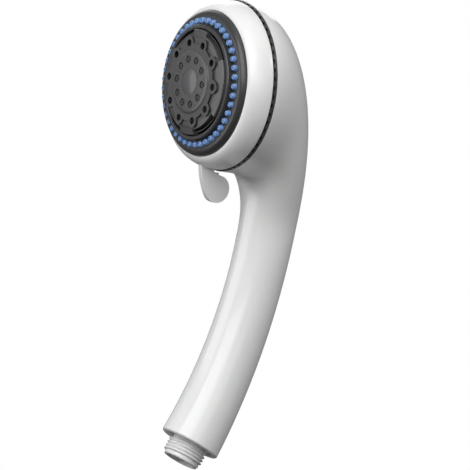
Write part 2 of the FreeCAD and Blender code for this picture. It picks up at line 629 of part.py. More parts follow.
def valve_body():
    """Fixed plate, elbow, pivot and the housings of the seal and the detent."""
    outlet = polar(PORT_CIRCLE_R, 180)
    detent = polar(DETENT_CIRCLE_R, 0)
    duct_r = TUBE_SOCKET_R + SOCKET_WALL
    socket_mouth = tube_end_drop() + SOCKET_DEPTH
    elbow = Vector(0, -PORT_CIRCLE_R, -DUCT_DEPTH)
    away = Vector(0, -1, 0)
    seal_bottom = DISC_BACK - FIXED_CLEARANCE - SEAL_LENGTH - SEAL_SPRING_LENGTH - FIXED_CLEARANCE
    plunger_back = PLUNGER_TIP - PLUNGER_LENGTH - DETENT_SPRING_LENGTH - FIXED_CLEARANCE
    web_mid = WEB_BACK + WEB_THICKNESS
    body = rod(PLATE_R, PLATE_BACK, PLATE_FRONT).fuse([
        rod(duct_r, -DUCT_DEPTH, PLATE_FRONT, outlet),
        Part.makeSphere(duct_r, elbow),
        Part.makeCylinder(duct_r, socket_mouth - PORT_CIRCLE_R, elbow, away),
        rod(PIVOT_R - 1.0, HUB_BACK, PLATE_FRONT),
        rod(PLUNGER_R + DETENT_HOUSING_WALL, plunger_back - DETENT_HOUSING_WALL, PLATE_FRONT,
            detent),
        rod(PIVOT_R, PLATE_FRONT, WEB_BACK - FIXED_CLEARANCE),
        rod(PIVOT_NOSE_R, WEB_BACK - FIXED_CLEARANCE, web_mid + 2 * FIXED_CLEARANCE),
        sector(PLATE_R - STOP_WIDTH, PLATE_R, PLATE_FRONT, DISC_BACK - MOVING_GAP, 0,
               STOP_HALF_ANGLE),
    ])
    groove_centre = Vector(0, -tube_end_drop() - 0.5 * SOCKET_DEPTH, -DUCT_DEPTH)
    groove = Part.makeCylinder(TUBE_R + 2 * O_RING_CORD_R + FIXED_CLEARANCE,
                               2 * (O_RING_CORD_R + FIXED_CLEARANCE),
                               groove_centre - away * (O_RING_CORD_R + FIXED_CLEARANCE), away)
    cuts = [
        rod(TUBE_BORE_R, -DUCT_DEPTH, seal_bottom, outlet),
        Part.makeSphere(TUBE_BORE_R, elbow),
        Part.makeCylinder(TUBE_BORE_R, socket_mouth - PORT_CIRCLE_R, elbow, away),
        Part.makeCylinder(TUBE_SOCKET_R, SOCKET_DEPTH + 2 * FIXED_CLEARANCE,
                          Vector(0, FIXED_CLEARANCE - tube_end_drop(), -DUCT_DEPTH), away),
        groove,
        rod(SEAL_R + FIXED_CLEARANCE, seal_bottom, PLATE_FRONT, outlet),
        rod(PLUNGER_R + RUNNING_CLEARANCE, plunger_back, PLATE_FRONT, detent),
        rod(PIVOT_SCREW_R + FIXED_CLEARANCE, HUB_BACK + 2.0, WEB_BACK + 2 * WEB_THICKNESS),
    ]
    for angle in VALVE_SCREW_ANGLES:
        centre = polar(VALVE_SCREW_CIRCLE_R, angle)
        cuts.append(rod(SCREW_R + 2 * FIXED_CLEARANCE, PLATE_BACK, PLATE_FRONT, centre))
        cuts.append(rod(SCREW_HEAD_R + 2 * FIXED_CLEARANCE, PLATE_FRONT - SCREW_HEAD_HEIGHT
                        - FIXED_CLEARANCE, PLATE_FRONT, centre))
    return body.cut(cuts).removeSplitter()


def valve_screws():
    """Screws that hold the valve body to the back shell."""
    seat = PLATE_FRONT - SCREW_HEAD_HEIGHT - FIXED_CLEARANCE
    length = seat - PLATE_BACK + VALVE_SCREW_LENGTH - 1.0
    return Part.makeCompound([
        pan_screw(SCREW_R, SCREW_HEAD_R, SCREW_HEAD_HEIGHT, length, seat, 1,
                  polar(VALVE_SCREW_CIRCLE_R, angle)) for angle in VALVE_SCREW_ANGLES])


def port_seal():
    """Spring-loaded rubber cup that seals the fixed outlet against the turning disc."""
    top = DISC_BACK - FIXED_CLEARANCE
    outlet = polar(PORT_CIRCLE_R, 180)
    cup = rod(SEAL_R, top - SEAL_LENGTH, top, outlet)
    return cup.cut(rod(SEAL_BORE_R, top - SEAL_LENGTH, top, outlet))


def port_seal_spring():
    """Spring behind the port seal."""
    bottom = DISC_BACK - FIXED_CLEARANCE - SEAL_LENGTH - SEAL_SPRING_LENGTH
    mean_r = SEAL_R - SEAL_WIRE_R - SEAL_SPRING_CLEARANCE
    return coil(mean_r, SEAL_WIRE_R, SEAL_SPRING_LENGTH - FIXED_CLEARANCE, SEAL_SPRING_TURNS,
                bottom, polar(PORT_CIRCLE_R, 180))


def detent_plunger():
    """Round-nosed pin that drops into the selector's notches."""
    centre = polar(DETENT_CIRCLE_R, 0)
    back = PLUNGER_TIP - PLUNGER_LENGTH
    nose = PLUNGER_TIP - PLUNGER_R
    return rod(PLUNGER_R, back, nose, centre).fuse(
        Part.makeSphere(PLUNGER_R, Vector(centre.x, centre.y, nose))).removeSplitter()


def detent_spring():
    """Spring that pushes the plunger into the notches."""
    bottom = PLUNGER_TIP - PLUNGER_LENGTH - DETENT_SPRING_LENGTH
    mean_r = PLUNGER_R - DETENT_WIRE_R - DETENT_SPRING_CLEARANCE
    return coil(mean_r, DETENT_WIRE_R, DETENT_SPRING_LENGTH - FIXED_CLEARANCE,
                DETENT_SPRING_TURNS, bottom, polar(DETENT_CIRCLE_R, 0))


def pivot_washer():
    """Metal washer between the pivot screw and the distributor's web."""
    bottom = WEB_BACK + WEB_THICKNESS + 2 * FIXED_CLEARANCE
    return ring(PIVOT_SCREW_R + FIXED_CLEARANCE, WASHER_R, bottom, bottom + WASHER_THICKNESS)


def pivot_screw():
    """Screw that holds the whole spray face on its pivot."""
    seat = WEB_BACK + WEB_THICKNESS + 2 * FIXED_CLEARANCE + WASHER_THICKNESS
    return pan_screw(PIVOT_SCREW_R, PIVOT_SCREW_HEAD_R, PIVOT_SCREW_HEAD_HEIGHT,
                     seat - HUB_BACK - PIVOT_SCREW_TIP, seat, 1, Vector(0, 0, 0))


def seam_ring():
    """Dark band at the seam, notched all round along its front edge."""
    outer = SEAM_R - SEAM_RING_STEP_IN
    inner = outer - SEAM_RING_WIDTH
    front = RING_BACK - MOVING_GAP
    spigot_outer = SEAM_R - WALL - SEAM_SPIGOT_INSET
    band = ring(inner, outer, -SEAM_HALF, front).fuse(
        ring(spigot_outer - SEAM_SPIGOT_THICKNESS, spigot_outer,
             -SEAM_HALF - SEAM_SPIGOT_DEPTH, -SEAM_HALF))
    pitch = 360.0 / SEAM_NOTCHES
    notches = [sector(outer - SEAM_NOTCH_DEPTH, outer + 1, -0.1, front, i * pitch,
                      0.5 * pitch * SEAM_NOTCH_SHARE) for i in range(SEAM_NOTCHES)]
    return band.cut(notches).removeSplitter()


# ---- turning spray face -----------------------------------------------------------------
def distributor():
    """Turning disc with a port for each mode, ring walls, hub, notches and stops."""
    top = CHAMBER_TOP
    body = rod(WALL_C_R + RING_WALL, DISC_BACK, DISC_FRONT).fuse([
        ring(SWIRL_R, WALL_A_R, DISC_FRONT, top),
        ring(WALL_B_R, WALL_B_R + RING_WALL, DISC_FRONT, top),
        ring(WALL_C_R, WALL_C_R + RING_WALL, DISC_FRONT, top),
        rod(HUB_R, DISC_BACK, HUB_TOP),
    ])
    mist_height = WEB_BACK + WEB_THICKNESS + MIST_DUCT_R
    first_port = polar(1, 180 + MODES[0])
    body = body.fuse([Part.makeCylinder(MIST_DUCT_R, WALL_A_R - POST_SOCKET_R,
                                        first_port * POST_SOCKET_R + Vector(0, 0, mist_height),
                                        first_port)])
    half_step = 0.5 * MODE_STEP
    rib_angles = [180 + mode - half_step for mode in MODES] + [180 + TRAVEL + half_step]
    body = body.fuse(spokes(WALL_A_R - WELD, WALL_B_R + WELD, RING_WALL, DISC_FRONT, top,
                            rib_angles))
    stop_angle = TRAVEL + 2 * STOP_HALF_ANGLE + STOP_SLACK
    body = body.fuse([sector(PLATE_R - STOP_WIDTH, PLATE_R, PLATE_FRONT + MOVING_GAP, DISC_BACK,
                             side * stop_angle, STOP_HALF_ANGLE) for side in (-1, 1)])
    body = body.fuse([rod(FACE_BOSS_R, DISC_FRONT, top, polar(FACE_SCREW_CIRCLE_R, angle))
                      for angle in FACE_SCREW_ANGLES])
    cuts = [
        rod(PIVOT_R + RUNNING_CLEARANCE, DISC_BACK, WEB_BACK),
        rod(PIVOT_NOSE_R + RUNNING_CLEARANCE, WEB_BACK, WEB_BACK + WEB_THICKNESS),
        rod(POST_SOCKET_R, WEB_BACK + WEB_THICKNESS, HUB_TOP),
        Part.makeCylinder(MIST_BORE_R, WALL_A_R + RING_WALL,
                          Vector(0, 0, mist_height), first_port),
    ]
    for mode in MODES:
        cuts.append(rod(PORT_R, DISC_BACK, DISC_FRONT, polar(PORT_CIRCLE_R, 180 + mode)))
        notch = polar(DETENT_CIRCLE_R, mode, DISC_BACK - NOTCH_R + NOTCH_DEPTH)
        cuts.append(Part.makeSphere(NOTCH_R, notch))
    inward = (MODES[1], MODES[2])
    outward = (MODES[2], MODES[3])
    window_half = WINDOW_HALF_WIDTH
    for mode in inward:
        cuts.append(sector(SWIRL_R - WELD, WALL_A_R + WELD, DISC_FRONT, DISC_FRONT + WINDOW_HEIGHT,
                           180 + mode, window_half))
    for mode in outward:
        cuts.append(sector(WALL_B_R - WELD, WALL_B_R + RING_WALL + WELD, DISC_FRONT,
                           DISC_FRONT + WINDOW_HEIGHT, 180 + mode, window_half))
    for angle in FACE_SCREW_ANGLES:
        centre = polar(FACE_SCREW_CIRCLE_R, angle)
        cuts.append(rod(SCREW_R + FIXED_CLEARANCE, DISC_BACK, top, centre))
        cuts.append(rod(SCREW_HEAD_R + FIXED_CLEARANCE, DISC_BACK,
                        DISC_BACK + SCREW_HEAD_HEIGHT + FIXED_CLEARANCE, centre))
    return body.cut(cuts).removeSplitter()


def face_screws():
    """Screws through the distributor, from behind, into the face plate."""
    seat = DISC_BACK + SCREW_HEAD_HEIGHT + FIXED_CLEARANCE
    return Part.makeCompound([
        pan_screw(SCREW_R, SCREW_HEAD_R, SCREW_HEAD_HEIGHT, FACE_SCREW_LENGTH, seat, -1,
                  polar(FACE_SCREW_CIRCLE_R, angle)) for angle in FACE_SCREW_ANGLES])


def face_gasket():
    """Flat rubber gasket between the distributor's walls and the face plate."""
    bottom, top = CHAMBER_TOP, GASKET_TOP
    rings = [ring(SWIRL_R - 1.0, WALL_A_R, bottom, top),
             ring(WALL_B_R - 0.3, WALL_B_R + RING_WALL, bottom, top),
             ring(WALL_C_R, WALL_C_R + RING_WALL, bottom, top)]
    links = spokes(WALL_A_R - WELD, WALL_C_R + WELD, GASKET_LINK_WIDTH, bottom, top,
                   GASKET_LINK_ANGLES)
    links += spokes(WALL_A_R - WELD, WALL_B_R, GASKET_LINK_WIDTH, bottom, top, FACE_SCREW_ANGLES)
    pads = [rod(FACE_BOSS_R, bottom, top, polar(FACE_SCREW_CIRCLE_R, a)) for a in FACE_SCREW_ANGLES]
    holes = [rod(SCREW_R + FIXED_CLEARANCE, bottom, top, polar(FACE_SCREW_CIRCLE_R, a))
             for a in FACE_SCREW_ANGLES]
    return rings[0].fuse(rings[1:] + links + pads).cut(holes).removeSplitter()


def face_plate():
    """Dark face: rounded border, nozzle flat, collar and the floor under the insert."""
    flange_bottom = FACE_BACK - FLANGE_THICKNESS
    skirt_r = WALL_C_R + RING_WALL + 2 * FIXED_CLEARANCE
    membrane_top = FACE_TOP - FACE_THICKNESS
    bezel_low = FACE_TOP - BEZEL_HEIGHT
    bezel_inner = BEZEL_R - BEZEL_WIDTH
    floor_back = FLOOR_TOP - FACE_THICKNESS
    lip = FACE_LIP
    ledge = SWIRL_R - FACE_LEDGE
    body = revolve([
        (FLANGE_R - FIXED_CLEARANCE, flange_bottom),
        (FLANGE_R - FIXED_CLEARANCE, RING_SHOULDER - 2 * FIXED_CLEARANCE),
        (BEZEL_R, RING_SHOULDER - 2 * FIXED_CLEARANCE),
        crown(bezel_inner, bezel_low, BEZEL_WIDTH, BEZEL_HEIGHT),
        (COLLAR_R, FACE_TOP), (COLLAR_R, COLLAR_TOP - lip), (COLLAR_R - lip, COLLAR_TOP),
        (COLLAR_BORE_R + lip, COLLAR_TOP), (COLLAR_BORE_R, COLLAR_TOP - lip),
        (COLLAR_BORE_R, FLOOR_TOP), (ledge, FLOOR_TOP), (ledge, FACE_BACK + SWIRL_THICKNESS),
        (SWIRL_R, FACE_BACK + SWIRL_THICKNESS), (SWIRL_R, FACE_BACK), (WALL_A_R, FACE_BACK),
        (WALL_A_R, floor_back), (WALL_B_R, floor_back), (WALL_B_R, FACE_BACK),
        (MEMBRANE_INNER_R - FIXED_CLEARANCE, FACE_BACK),
        (MEMBRANE_INNER_R - FIXED_CLEARANCE, membrane_top),
        (MEMBRANE_OUTER_R + FIXED_CLEARANCE, membrane_top),
        (MEMBRANE_OUTER_R + FIXED_CLEARANCE, FACE_BACK), (skirt_r, FACE_BACK),
        (skirt_r, flange_bottom),
    ])
    body = body.fuse([rod(FACE_BOSS_R, FACE_BACK, floor_back, polar(FACE_SCREW_CIRCLE_R, a))
                      for a in FACE_SCREW_ANGLES])
    ribs = [sector(INSERT_R - WINDOW_DEPTH / 2 - WINDOW_RIB / 2, INSERT_R - WINDOW_DEPTH / 2
                   + WINDOW_RIB / 2, FLOOR_TOP, COLLAR_TOP - lip, angle, WINDOW_HALF_ANGLE - 2.0)
            for angle in WINDOW_ANGLES]
    body = body.fuse(ribs)
    cuts = []
    for i in range(NOZZLE_COUNT):
        centre = polar(NOZZLE_CIRCLE_R, 360.0 * i / NOZZLE_COUNT)
        cuts.append(rod(NOZZLE_BASE_R + 2 * FIXED_CLEARANCE, membrane_top, FACE_TOP, centre))
    for angle in WINDOW_ANGLES:
        slot_r = INSERT_R - WINDOW_DEPTH + FIXED_CLEARANCE
        cuts.append(sector(slot_r, slot_r + WINDOW_SLOT, floor_back, FLOOR_TOP, angle,
                           WINDOW_HALF_ANGLE - 4.0))
    for angle in FACE_SCREW_ANGLES:
        cuts.append(rod(SCREW_R + FIXED_CLEARANCE, FACE_BACK, FLOOR_TOP - 0.6,
                        polar(FACE_SCREW_CIRCLE_R, angle)))
    return body.cut(cuts).removeSplitter()


def nozzle_membrane():
    """Silicone ring with a rubbing-clean nozzle at each hole of the face plate."""
    top = FACE_TOP - FACE_THICKNESS - FIXED_CLEARANCE
    body = ring(MEMBRANE_INNER_R, MEMBRANE_OUTER_R, top - MEMBRANE_THICKNESS, top)
    centres = [polar(NOZZLE_CIRCLE_R, 360.0 * i / NOZZLE_COUNT) for i in range(NOZZLE_COUNT)]
    nubs = [tapered(NOZZLE_BASE_R, NOZZLE_TIP_R, top - WELD, NOZZLE_TOP, c, NOZZLE_ROUND)
            for c in centres]
    bores = [rod(NOZZLE_BORE_R, top - MEMBRANE_THICKNESS, NOZZLE_TOP, c) for c in centres]
    return body.fuse(nubs).cut(bores)


def nozzle_backing_ring():
    """Stiff ring behind the membrane, with a feed hole for each nozzle."""
    top = FACE_TOP - FACE_THICKNESS - 2 * FIXED_CLEARANCE - MEMBRANE_THICKNESS
    body = ring(MEMBRANE_INNER_R, MEMBRANE_OUTER_R, top - BACKING_THICKNESS, top)
    return body.cut([rod(FEED_HOLE_R, top - BACKING_THICKNESS, top,
                         polar(NOZZLE_CIRCLE_R, 360.0 * i / NOZZLE_COUNT))
                     for i in range(NOZZLE_COUNT)])


def swirl_plate():
    """Plate with slanted slots that drive the turbine."""
    bottom = FACE_BACK
    top = FACE_BACK + SWIRL_THICKNESS - FIXED_CLEARANCE
    body = ring(POST_SOCKET_R, SWIRL_R - FIXED_CLEARANCE, bottom, top)
    slots = []
    for i in range(SWIRL_SLOTS):
        slot = Part.makeBox(SWIRL_SLOT_LENGTH, SWIRL_SLOT_WIDTH, 3 * SWIRL_THICKNESS,
                            Vector(SWIRL_SLOT_START, -0.5 * SWIRL_SLOT_WIDTH,
                                   -1.5 * SWIRL_THICKNESS))
        slot.rotate(Vector(0, 0, 0), Vector(1, 0, 0), SWIRL_SLOT_SLANT)
        slot.rotate(Vector(0, 0, 0), Vector(0, 0, 1), 360.0 * i / SWIRL_SLOTS)
        slot.translate(Vector(0, 0, 0.5 * (bottom + top)))
        slots.append(slot)
    return body.cut(slots)


def spray_insert():
    """Centre of the face: skirt, scalloped tier, pulse jets, windows and the hollow post."""
    lip = 0.3
    lower_tier_r = JET_CIRCLE_R + 2.0
    body = revolve([
        (POST_BORE_R, POST_BOTTOM), (POST_R, POST_BOTTOM), (POST_R, CHAMBER_CEILING),
        (SKIRT_BORE_R, CHAMBER_CEILING), (SKIRT_BORE_R, FLOOR_TOP + FIXED_CLEARANCE),
        (INSERT_R, FLOOR_TOP + FIXED_CLEARANCE), (INSERT_R, INSERT_EDGE_TOP - lip),
        (INSERT_R - lip, INSERT_EDGE_TOP), (lower_tier_r, STEP_BASE),
        (MIST_DISC_R + FIXED_CLEARANCE, STEP_BASE),
        (MIST_DISC_R + FIXED_CLEARANCE, MIST_DISC_BACK), (POST_BORE_R, MIST_DISC_BACK),
    ])
    tier_r = JET_CIRCLE_R - SCALLOP_DISC_INSET
    angles = [JET_PHASE + 360.0 * i / JET_COUNT for i in range(JET_COUNT)]
    tier = ring(MIST_DISC_R + FIXED_CLEARANCE, tier_r, STEP_BASE - lip, INSERT_TOP)
    lobes = [rod(SCALLOP_R, STEP_BASE - 3 * lip, INSERT_TOP, polar(JET_CIRCLE_R, a)) for a in angles]
    recess = rod(MIST_DISC_R + FIXED_CLEARANCE, MIST_DISC_BACK, INSERT_TOP)
    body = body.fuse([tier] + lobes).cut(recess)
    cuts = [rod(JET_R, CHAMBER_CEILING, INSERT_TOP, polar(JET_CIRCLE_R, a)) for a in angles]
    for angle in WINDOW_ANGLES:
        cuts.append(sector(INSERT_R - WINDOW_DEPTH, INSERT_R + 1, FLOOR_TOP, INSERT_TOP, angle,
                           WINDOW_HALF_ANGLE))
    return body.cut(cuts).removeSplitter()


def post_o_ring():
    """Seal between the insert's post and the distributor's hub, lying on the hub's rim."""
    return o_ring(HUB_TOP + O_RING_CORD_R + FIXED_CLEARANCE, POST_R + FIXED_CLEARANCE)


def mist_disc():
    """Crowned disc with a ringed mist jet in line with each pulse jet."""
    rim = 1.2
    plate_back = MIST_DISC_BACK + 1.0
    top_inner = MIST_CIRCLE_R - 3.0
    body = revolve([
        (CAP_R + FIXED_CLEARANCE, CAP_FLOOR), (POST_BORE_R, CAP_FLOOR),
        (POST_BORE_R, plate_back), (MIST_DISC_R - rim, plate_back),
        (MIST_DISC_R - rim, MIST_DISC_BACK + FIXED_CLEARANCE),
        (MIST_DISC_R, MIST_DISC_BACK + FIXED_CLEARANCE), (MIST_DISC_R, INSERT_TOP),
        arc((MIST_DISC_R, INSERT_TOP), (MIST_DISC_R - 0.6, MIST_DISC_SHOULDER),
            (MIST_CIRCLE_R + MIST_PIT_R + 0.4, MIST_DISC_TOP - 0.15)),
        (top_inner, MIST_DISC_TOP), (CAP_R + FIXED_CLEARANCE, MIST_DISC_TOP),
    ])
    cuts = []
    for i in range(JET_COUNT):
        centre = polar(MIST_CIRCLE_R, JET_PHASE + 360.0 * i / JET_COUNT)
        pit = rod(MIST_PIT_R, MIST_DISC_TOP - MIST_PIT_DEPTH, CAP_TOP, centre)
        boss = rod(MIST_BOSS_R, MIST_DISC_TOP - MIST_PIT_DEPTH, MIST_DISC_TOP - 0.1, centre)
        cuts.append(pit.cut(boss))
        cuts.append(rod(MIST_HOLE_R, plate_back, CAP_TOP, centre))
    return body.cut(cuts).removeSplitter()


def centre_cap():
    """Domed cap that hides the pivot screw's access hole."""
    stem_r = POST_BORE_R - FIXED_CLEARANCE
    return revolve([
        (0, MIST_DISC_BACK - 1.5), (stem_r, MIST_DISC_BACK - 1.5),
        (stem_r, CAP_FLOOR + FIXED_CLEARANCE), (CAP_R, CAP_FLOOR + FIXED_CLEARANCE),
        (CAP_R, CAP_EDGE_TOP), dome(CAP_R, CAP_EDGE_TOP, CAP_TOP),
    ])


def turbine_rotor():
    """Free-spinning rotor: hub, blades and a half-open shutter over the pulse jets."""
    bore_r = POST_R + RUNNING_CLEARANCE
    hub_r = bore_r + ROTOR_HUB_WALL
    blade_r = SWIRL_R - FACE_LEDGE - 2 * MOVING_GAP
    shutter_r = SKIRT_BORE_R - 2 * MOVING_GAP
    shutter_bottom = ROTOR_TOP - SHUTTER_THICKNESS
    body = rod(hub_r, ROTOR_BOTTOM, ROTOR_TOP).fuse(
        [rod(shutter_r, shutter_bottom, ROTOR_TOP)]
        + spokes(hub_r - 0.5, blade_r, BLADE_THICKNESS, ROTOR_BOTTOM, shutter_bottom,
                 [360.0 * i / BLADE_COUNT for i in range(BLADE_COUNT)]))
    opening = sector(blade_r, shutter_r + 1, shutter_bottom, ROTOR_TOP, 0, SHUTTER_OPEN_ANGLE / 2)
    return body.cut([opening, rod(bore_r, ROTOR_BOTTOM, ROTOR_TOP)]).removeSplitter()


def lever_fin():
    """Flat finger lever in the plane of symmetry, from inside the ring down to its lobe."""
    def point(height, drop):
        return Vector(0, -drop, height)

    lobe = point(LEVER_LOBE_HEIGHT, SEAM_R + LEVER_LOBE_DROP)
    ring_inside = FLANGE_R + 0.4
    top_height = RING_SHOULDER + 0.5

    def along(angle):
        turn = math.radians(angle)
        return Vector(0, math.sin(turn), math.cos(turn))

    join = lobe + along(LEVER_TANGENT) * LEVER_LOBE_R
    front_centre = lobe - along(LEVER_TANGENT) * (LEVER_FRONT_R - LEVER_LOBE_R)

    def on_front(drop):
        rise = -drop - front_centre.y
        return point(front_centre.z + math.sqrt(LEVER_FRONT_R ** 2 - rise ** 2), drop)

    front_top = on_front(ring_inside + 0.3)
    front_middle = on_front(0.5 * (ring_inside - join.y))
    lobe_end = lobe + along(LEVER_LOBE_END) * LEVER_LOBE_R
    overhang = SEAM_R + LEVER_OVERHANG
    back = LEVER_LOBE_HEIGHT + 0.6
    edges = [
        Part.Arc(front_top, front_middle, join).toShape(),
        Part.Arc(join, lobe + along(0.5 * (LEVER_TANGENT + LEVER_LOBE_END) - 180) * LEVER_LOBE_R,
                 lobe_end).toShape(),
        Part.makeLine(lobe_end, point(back, overhang + 1.0)),
        Part.makeLine(point(back, overhang + 1.0), point(back, overhang)),
        Part.makeLine(point(back, overhang), point(RING_BACK + MOVING_GAP, overhang)),
        Part.makeLine(point(RING_BACK + MOVING_GAP, overhang),
                      point(RING_BACK + MOVING_GAP, RING_R - 1.0)),
        Part.makeLine(point(RING_BACK + MOVING_GAP, RING_R - 1.0),
                      point(top_height, ring_inside)),
        Part.makeLine(point(top_height, ring_inside), front_top),
    ]
    face = Part.Face(Part.Wire(edges))
    face.translate(Vector(-LEVER_THICKNESS / 2, 0, 0))
    return face.extrude(Vector(LEVER_THICKNESS, 0, 0))


def selector_ring():
    """White front ring that the hand turns, in one piece with the lever."""
    bead_r = FLANGE_R - SNAP_BEAD
    bead_top = FACE_BACK - FLANGE_THICKNESS - 2 * FIXED_CLEARANCE
    bore_r = SEAM_R - RING_SKIRT
    body = revolve([
        (RING_R, RING_BACK),
        crown(OPENING_R, RING_BACK, RING_CROWN, RING_FRONT - RING_BACK),
        (OPENING_R - 0.01, RING_FRONT), (OPENING_R - 0.01, RING_SHOULDER),
        (FLANGE_R, RING_SHOULDER), (FLANGE_R, bead_top), (bead_r, bead_top - 0.2),
        (bead_r, bead_top - 1.0), (FLANGE_R, bead_top - 1.4), (bore_r, RING_BACK + 2.0),
        (bore_r, RING_BACK),
    ])
    return body.fuse(lever_fin()).removeSplitter()


IN_PART_FRAME = (handle_shell, inlet_spigot, inlet_filter, filter_gasket, flow_restrictor,
                 water_tube, tube_o_rings)
IN_HEAD_FRAME = (valve_body, valve_screws, port_seal, port_seal_spring, detent_plunger,
                 detent_spring, pivot_washer, pivot_screw, seam_ring, distributor, face_screws,
                 face_gasket, face_plate, nozzle_membrane, nozzle_backing_ring, swirl_plate,
                 spray_insert, post_o_ring, mist_disc, centre_cap, turbine_rotor, selector_ring)

os.makedirs("parts", exist_ok=True)
for make in IN_PART_FRAME:
    make().exportStep(f"parts/{make.__name__}.step")
for make in IN_HEAD_FRAME:
    on_head(make()).exportStep(f"parts/{make.__name__}.step")
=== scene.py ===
"""Looks of a handheld shower head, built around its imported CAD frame.

Every sub-assembly is a class: its sizes are dataclass fields, and its methods build and dress
its meshes. The head frame has its origin at the middle of the seam, its height axis along the
spray and its second axis up the face.
"""

import logging
import math
from dataclasses import dataclass, field
from enum import Enum

import bmesh
import bpy
from mathutils import Matrix, Vector


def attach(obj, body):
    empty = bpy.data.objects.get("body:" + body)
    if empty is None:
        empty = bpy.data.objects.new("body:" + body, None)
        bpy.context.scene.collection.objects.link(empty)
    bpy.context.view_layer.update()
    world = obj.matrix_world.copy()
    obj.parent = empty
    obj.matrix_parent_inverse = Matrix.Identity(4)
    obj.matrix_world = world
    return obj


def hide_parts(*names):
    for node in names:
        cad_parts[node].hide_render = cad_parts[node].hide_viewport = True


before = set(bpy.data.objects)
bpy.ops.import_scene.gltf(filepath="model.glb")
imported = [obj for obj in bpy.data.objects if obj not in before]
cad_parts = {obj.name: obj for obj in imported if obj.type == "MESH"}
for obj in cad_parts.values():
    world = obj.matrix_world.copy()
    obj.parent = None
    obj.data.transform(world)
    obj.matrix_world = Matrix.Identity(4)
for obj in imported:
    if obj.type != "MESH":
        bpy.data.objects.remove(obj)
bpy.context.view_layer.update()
MM = 0.001
LOG = logging.getLogger("shower_head")

Colour = tuple[float, float, float]


class Body(Enum):
    """The CAD bodies that pieces ride on."""

    HANDLE = "handle"
    SELECTOR = "selector"


@dataclass(frozen=True)
class HeadFrame:
    """Where the head's own axes lie in the object's frame."""

    tilt_degrees: float = 25.1
    centre_mm: tuple[float, float, float] = (0.0, -86.2943, 174.4541)

    def matrix(self) -> Matrix:
        """Head frame in millimetres to the object's frame in metres."""
        turn = Matrix.Rotation(math.radians(90 + self.tilt_degrees), 4, "X")
        return Matrix.Scale(MM, 4) @ Matrix.Translation(Vector(self.centre_mm)) @ turn


HEAD = HeadFrame()


# ---- shader tools ------------------------------------------------------------------------
class Value:
    """A float socket that Python arithmetic turns into Math nodes."""

    def __init__(self, tree: "NodeTree", socket: bpy.types.NodeSocket) -> None:
        """Wraps a socket.

        Args:
            tree: The node tree that owns the socket.
            socket: The output socket.
        """
        self.tree = tree
        self.socket = socket

    def maths(self, operation: str, *terms: "Value | float") -> "Value":
        """Adds one Math node.

        Args:
            operation: The node's operation.
            *terms: Its inputs, in order.

        Returns:
            The node's result.
        """
        made = self.tree.add("ShaderNodeMath", {"operation": operation},
                             dict(enumerate(terms)))
        return Value(self.tree, made.outputs[0])

    def __add__(self, other: "Value | float") -> "Value":
        """Sum."""
        return self.maths("ADD", self, other)

    def __radd__(self, other: "Value | float") -> "Value":
        """Sum, from the right."""
        return self.maths("ADD", other, self)

    def __sub__(self, other: "Value | float") -> "Value":
        """Difference."""
        return self.maths("SUBTRACT", self, other)

    def __rsub__(self, other: "Value | float") -> "Value":
        """Difference, from the right."""
        return self.maths("SUBTRACT", other, self)

    def __mul__(self, other: "Value | float") -> "Value":
        """Product."""
        return self.maths("MULTIPLY", self, other)

    def __rmul__(self, other: "Value | float") -> "Value":
        """Product, from the right."""
        return self.maths("MULTIPLY", other, self)

    def __truediv__(self, other: "Value | float") -> "Value":
        """Quotient."""
        return self.maths("DIVIDE", self, other)

    def __abs__(self) -> "Value":
        """Size without its sign."""
        return self.maths("ABSOLUTE", self)

    def at_least(self, other: "Value | float") -> "Value":
        """The larger of the two."""
        return self.maths("MAXIMUM", self, other)

    def over(self, edge: float, softness: float) -> "Value":
        """Soft step from 0 below an edge to 1 above it.

        Args:
            edge: Where the step is half done.
            softness: Half the step's width.

        Returns:
            The step.
        """
        made = self.tree.add("ShaderNodeMapRange", {"clamp": True}, {
            "Value": self, "From Min": edge - softness, "From Max": edge + softness})
        return Value(self.tree, made.outputs[0])


class NodeTree:
    """A material's or a world's node tree, emptied and built afresh."""

    def __init__(self, tree: bpy.types.NodeTree) -> None:
        """Empties a tree.

        Args:
            tree: The tree.
        """
        self.nodes = tree.nodes
        self.links = tree.links
        self.nodes.clear()

    def feed(self, socket: bpy.types.NodeSocket, value: object) -> None:
        """Gives an input its value or its link.

        Args:
            socket: The input.
            value: A plain value, an output socket or a Value.
        """
        if isinstance(value, Value):
            value = value.socket
        if isinstance(value, bpy.types.NodeSocket):
            self.links.new(value, socket)
        else:
            socket.default_value = value

    def add(self, kind: str, settings: dict[str, object],
            inputs: dict[str | int, object]) -> bpy.types.Node:
        """Adds a node, sets it and connects it.

        Args:
            kind: The node's type.
            settings: Its properties, set first.
            inputs: A plain value, an output socket or a Value for each input.

        Returns:
            The node.
        """
        node = self.nodes.new(kind)
        for key, value in settings.items():
            setattr(node, key, value)
        for key, value in inputs.items():
            self.feed(node.inputs[key], value)
        return node


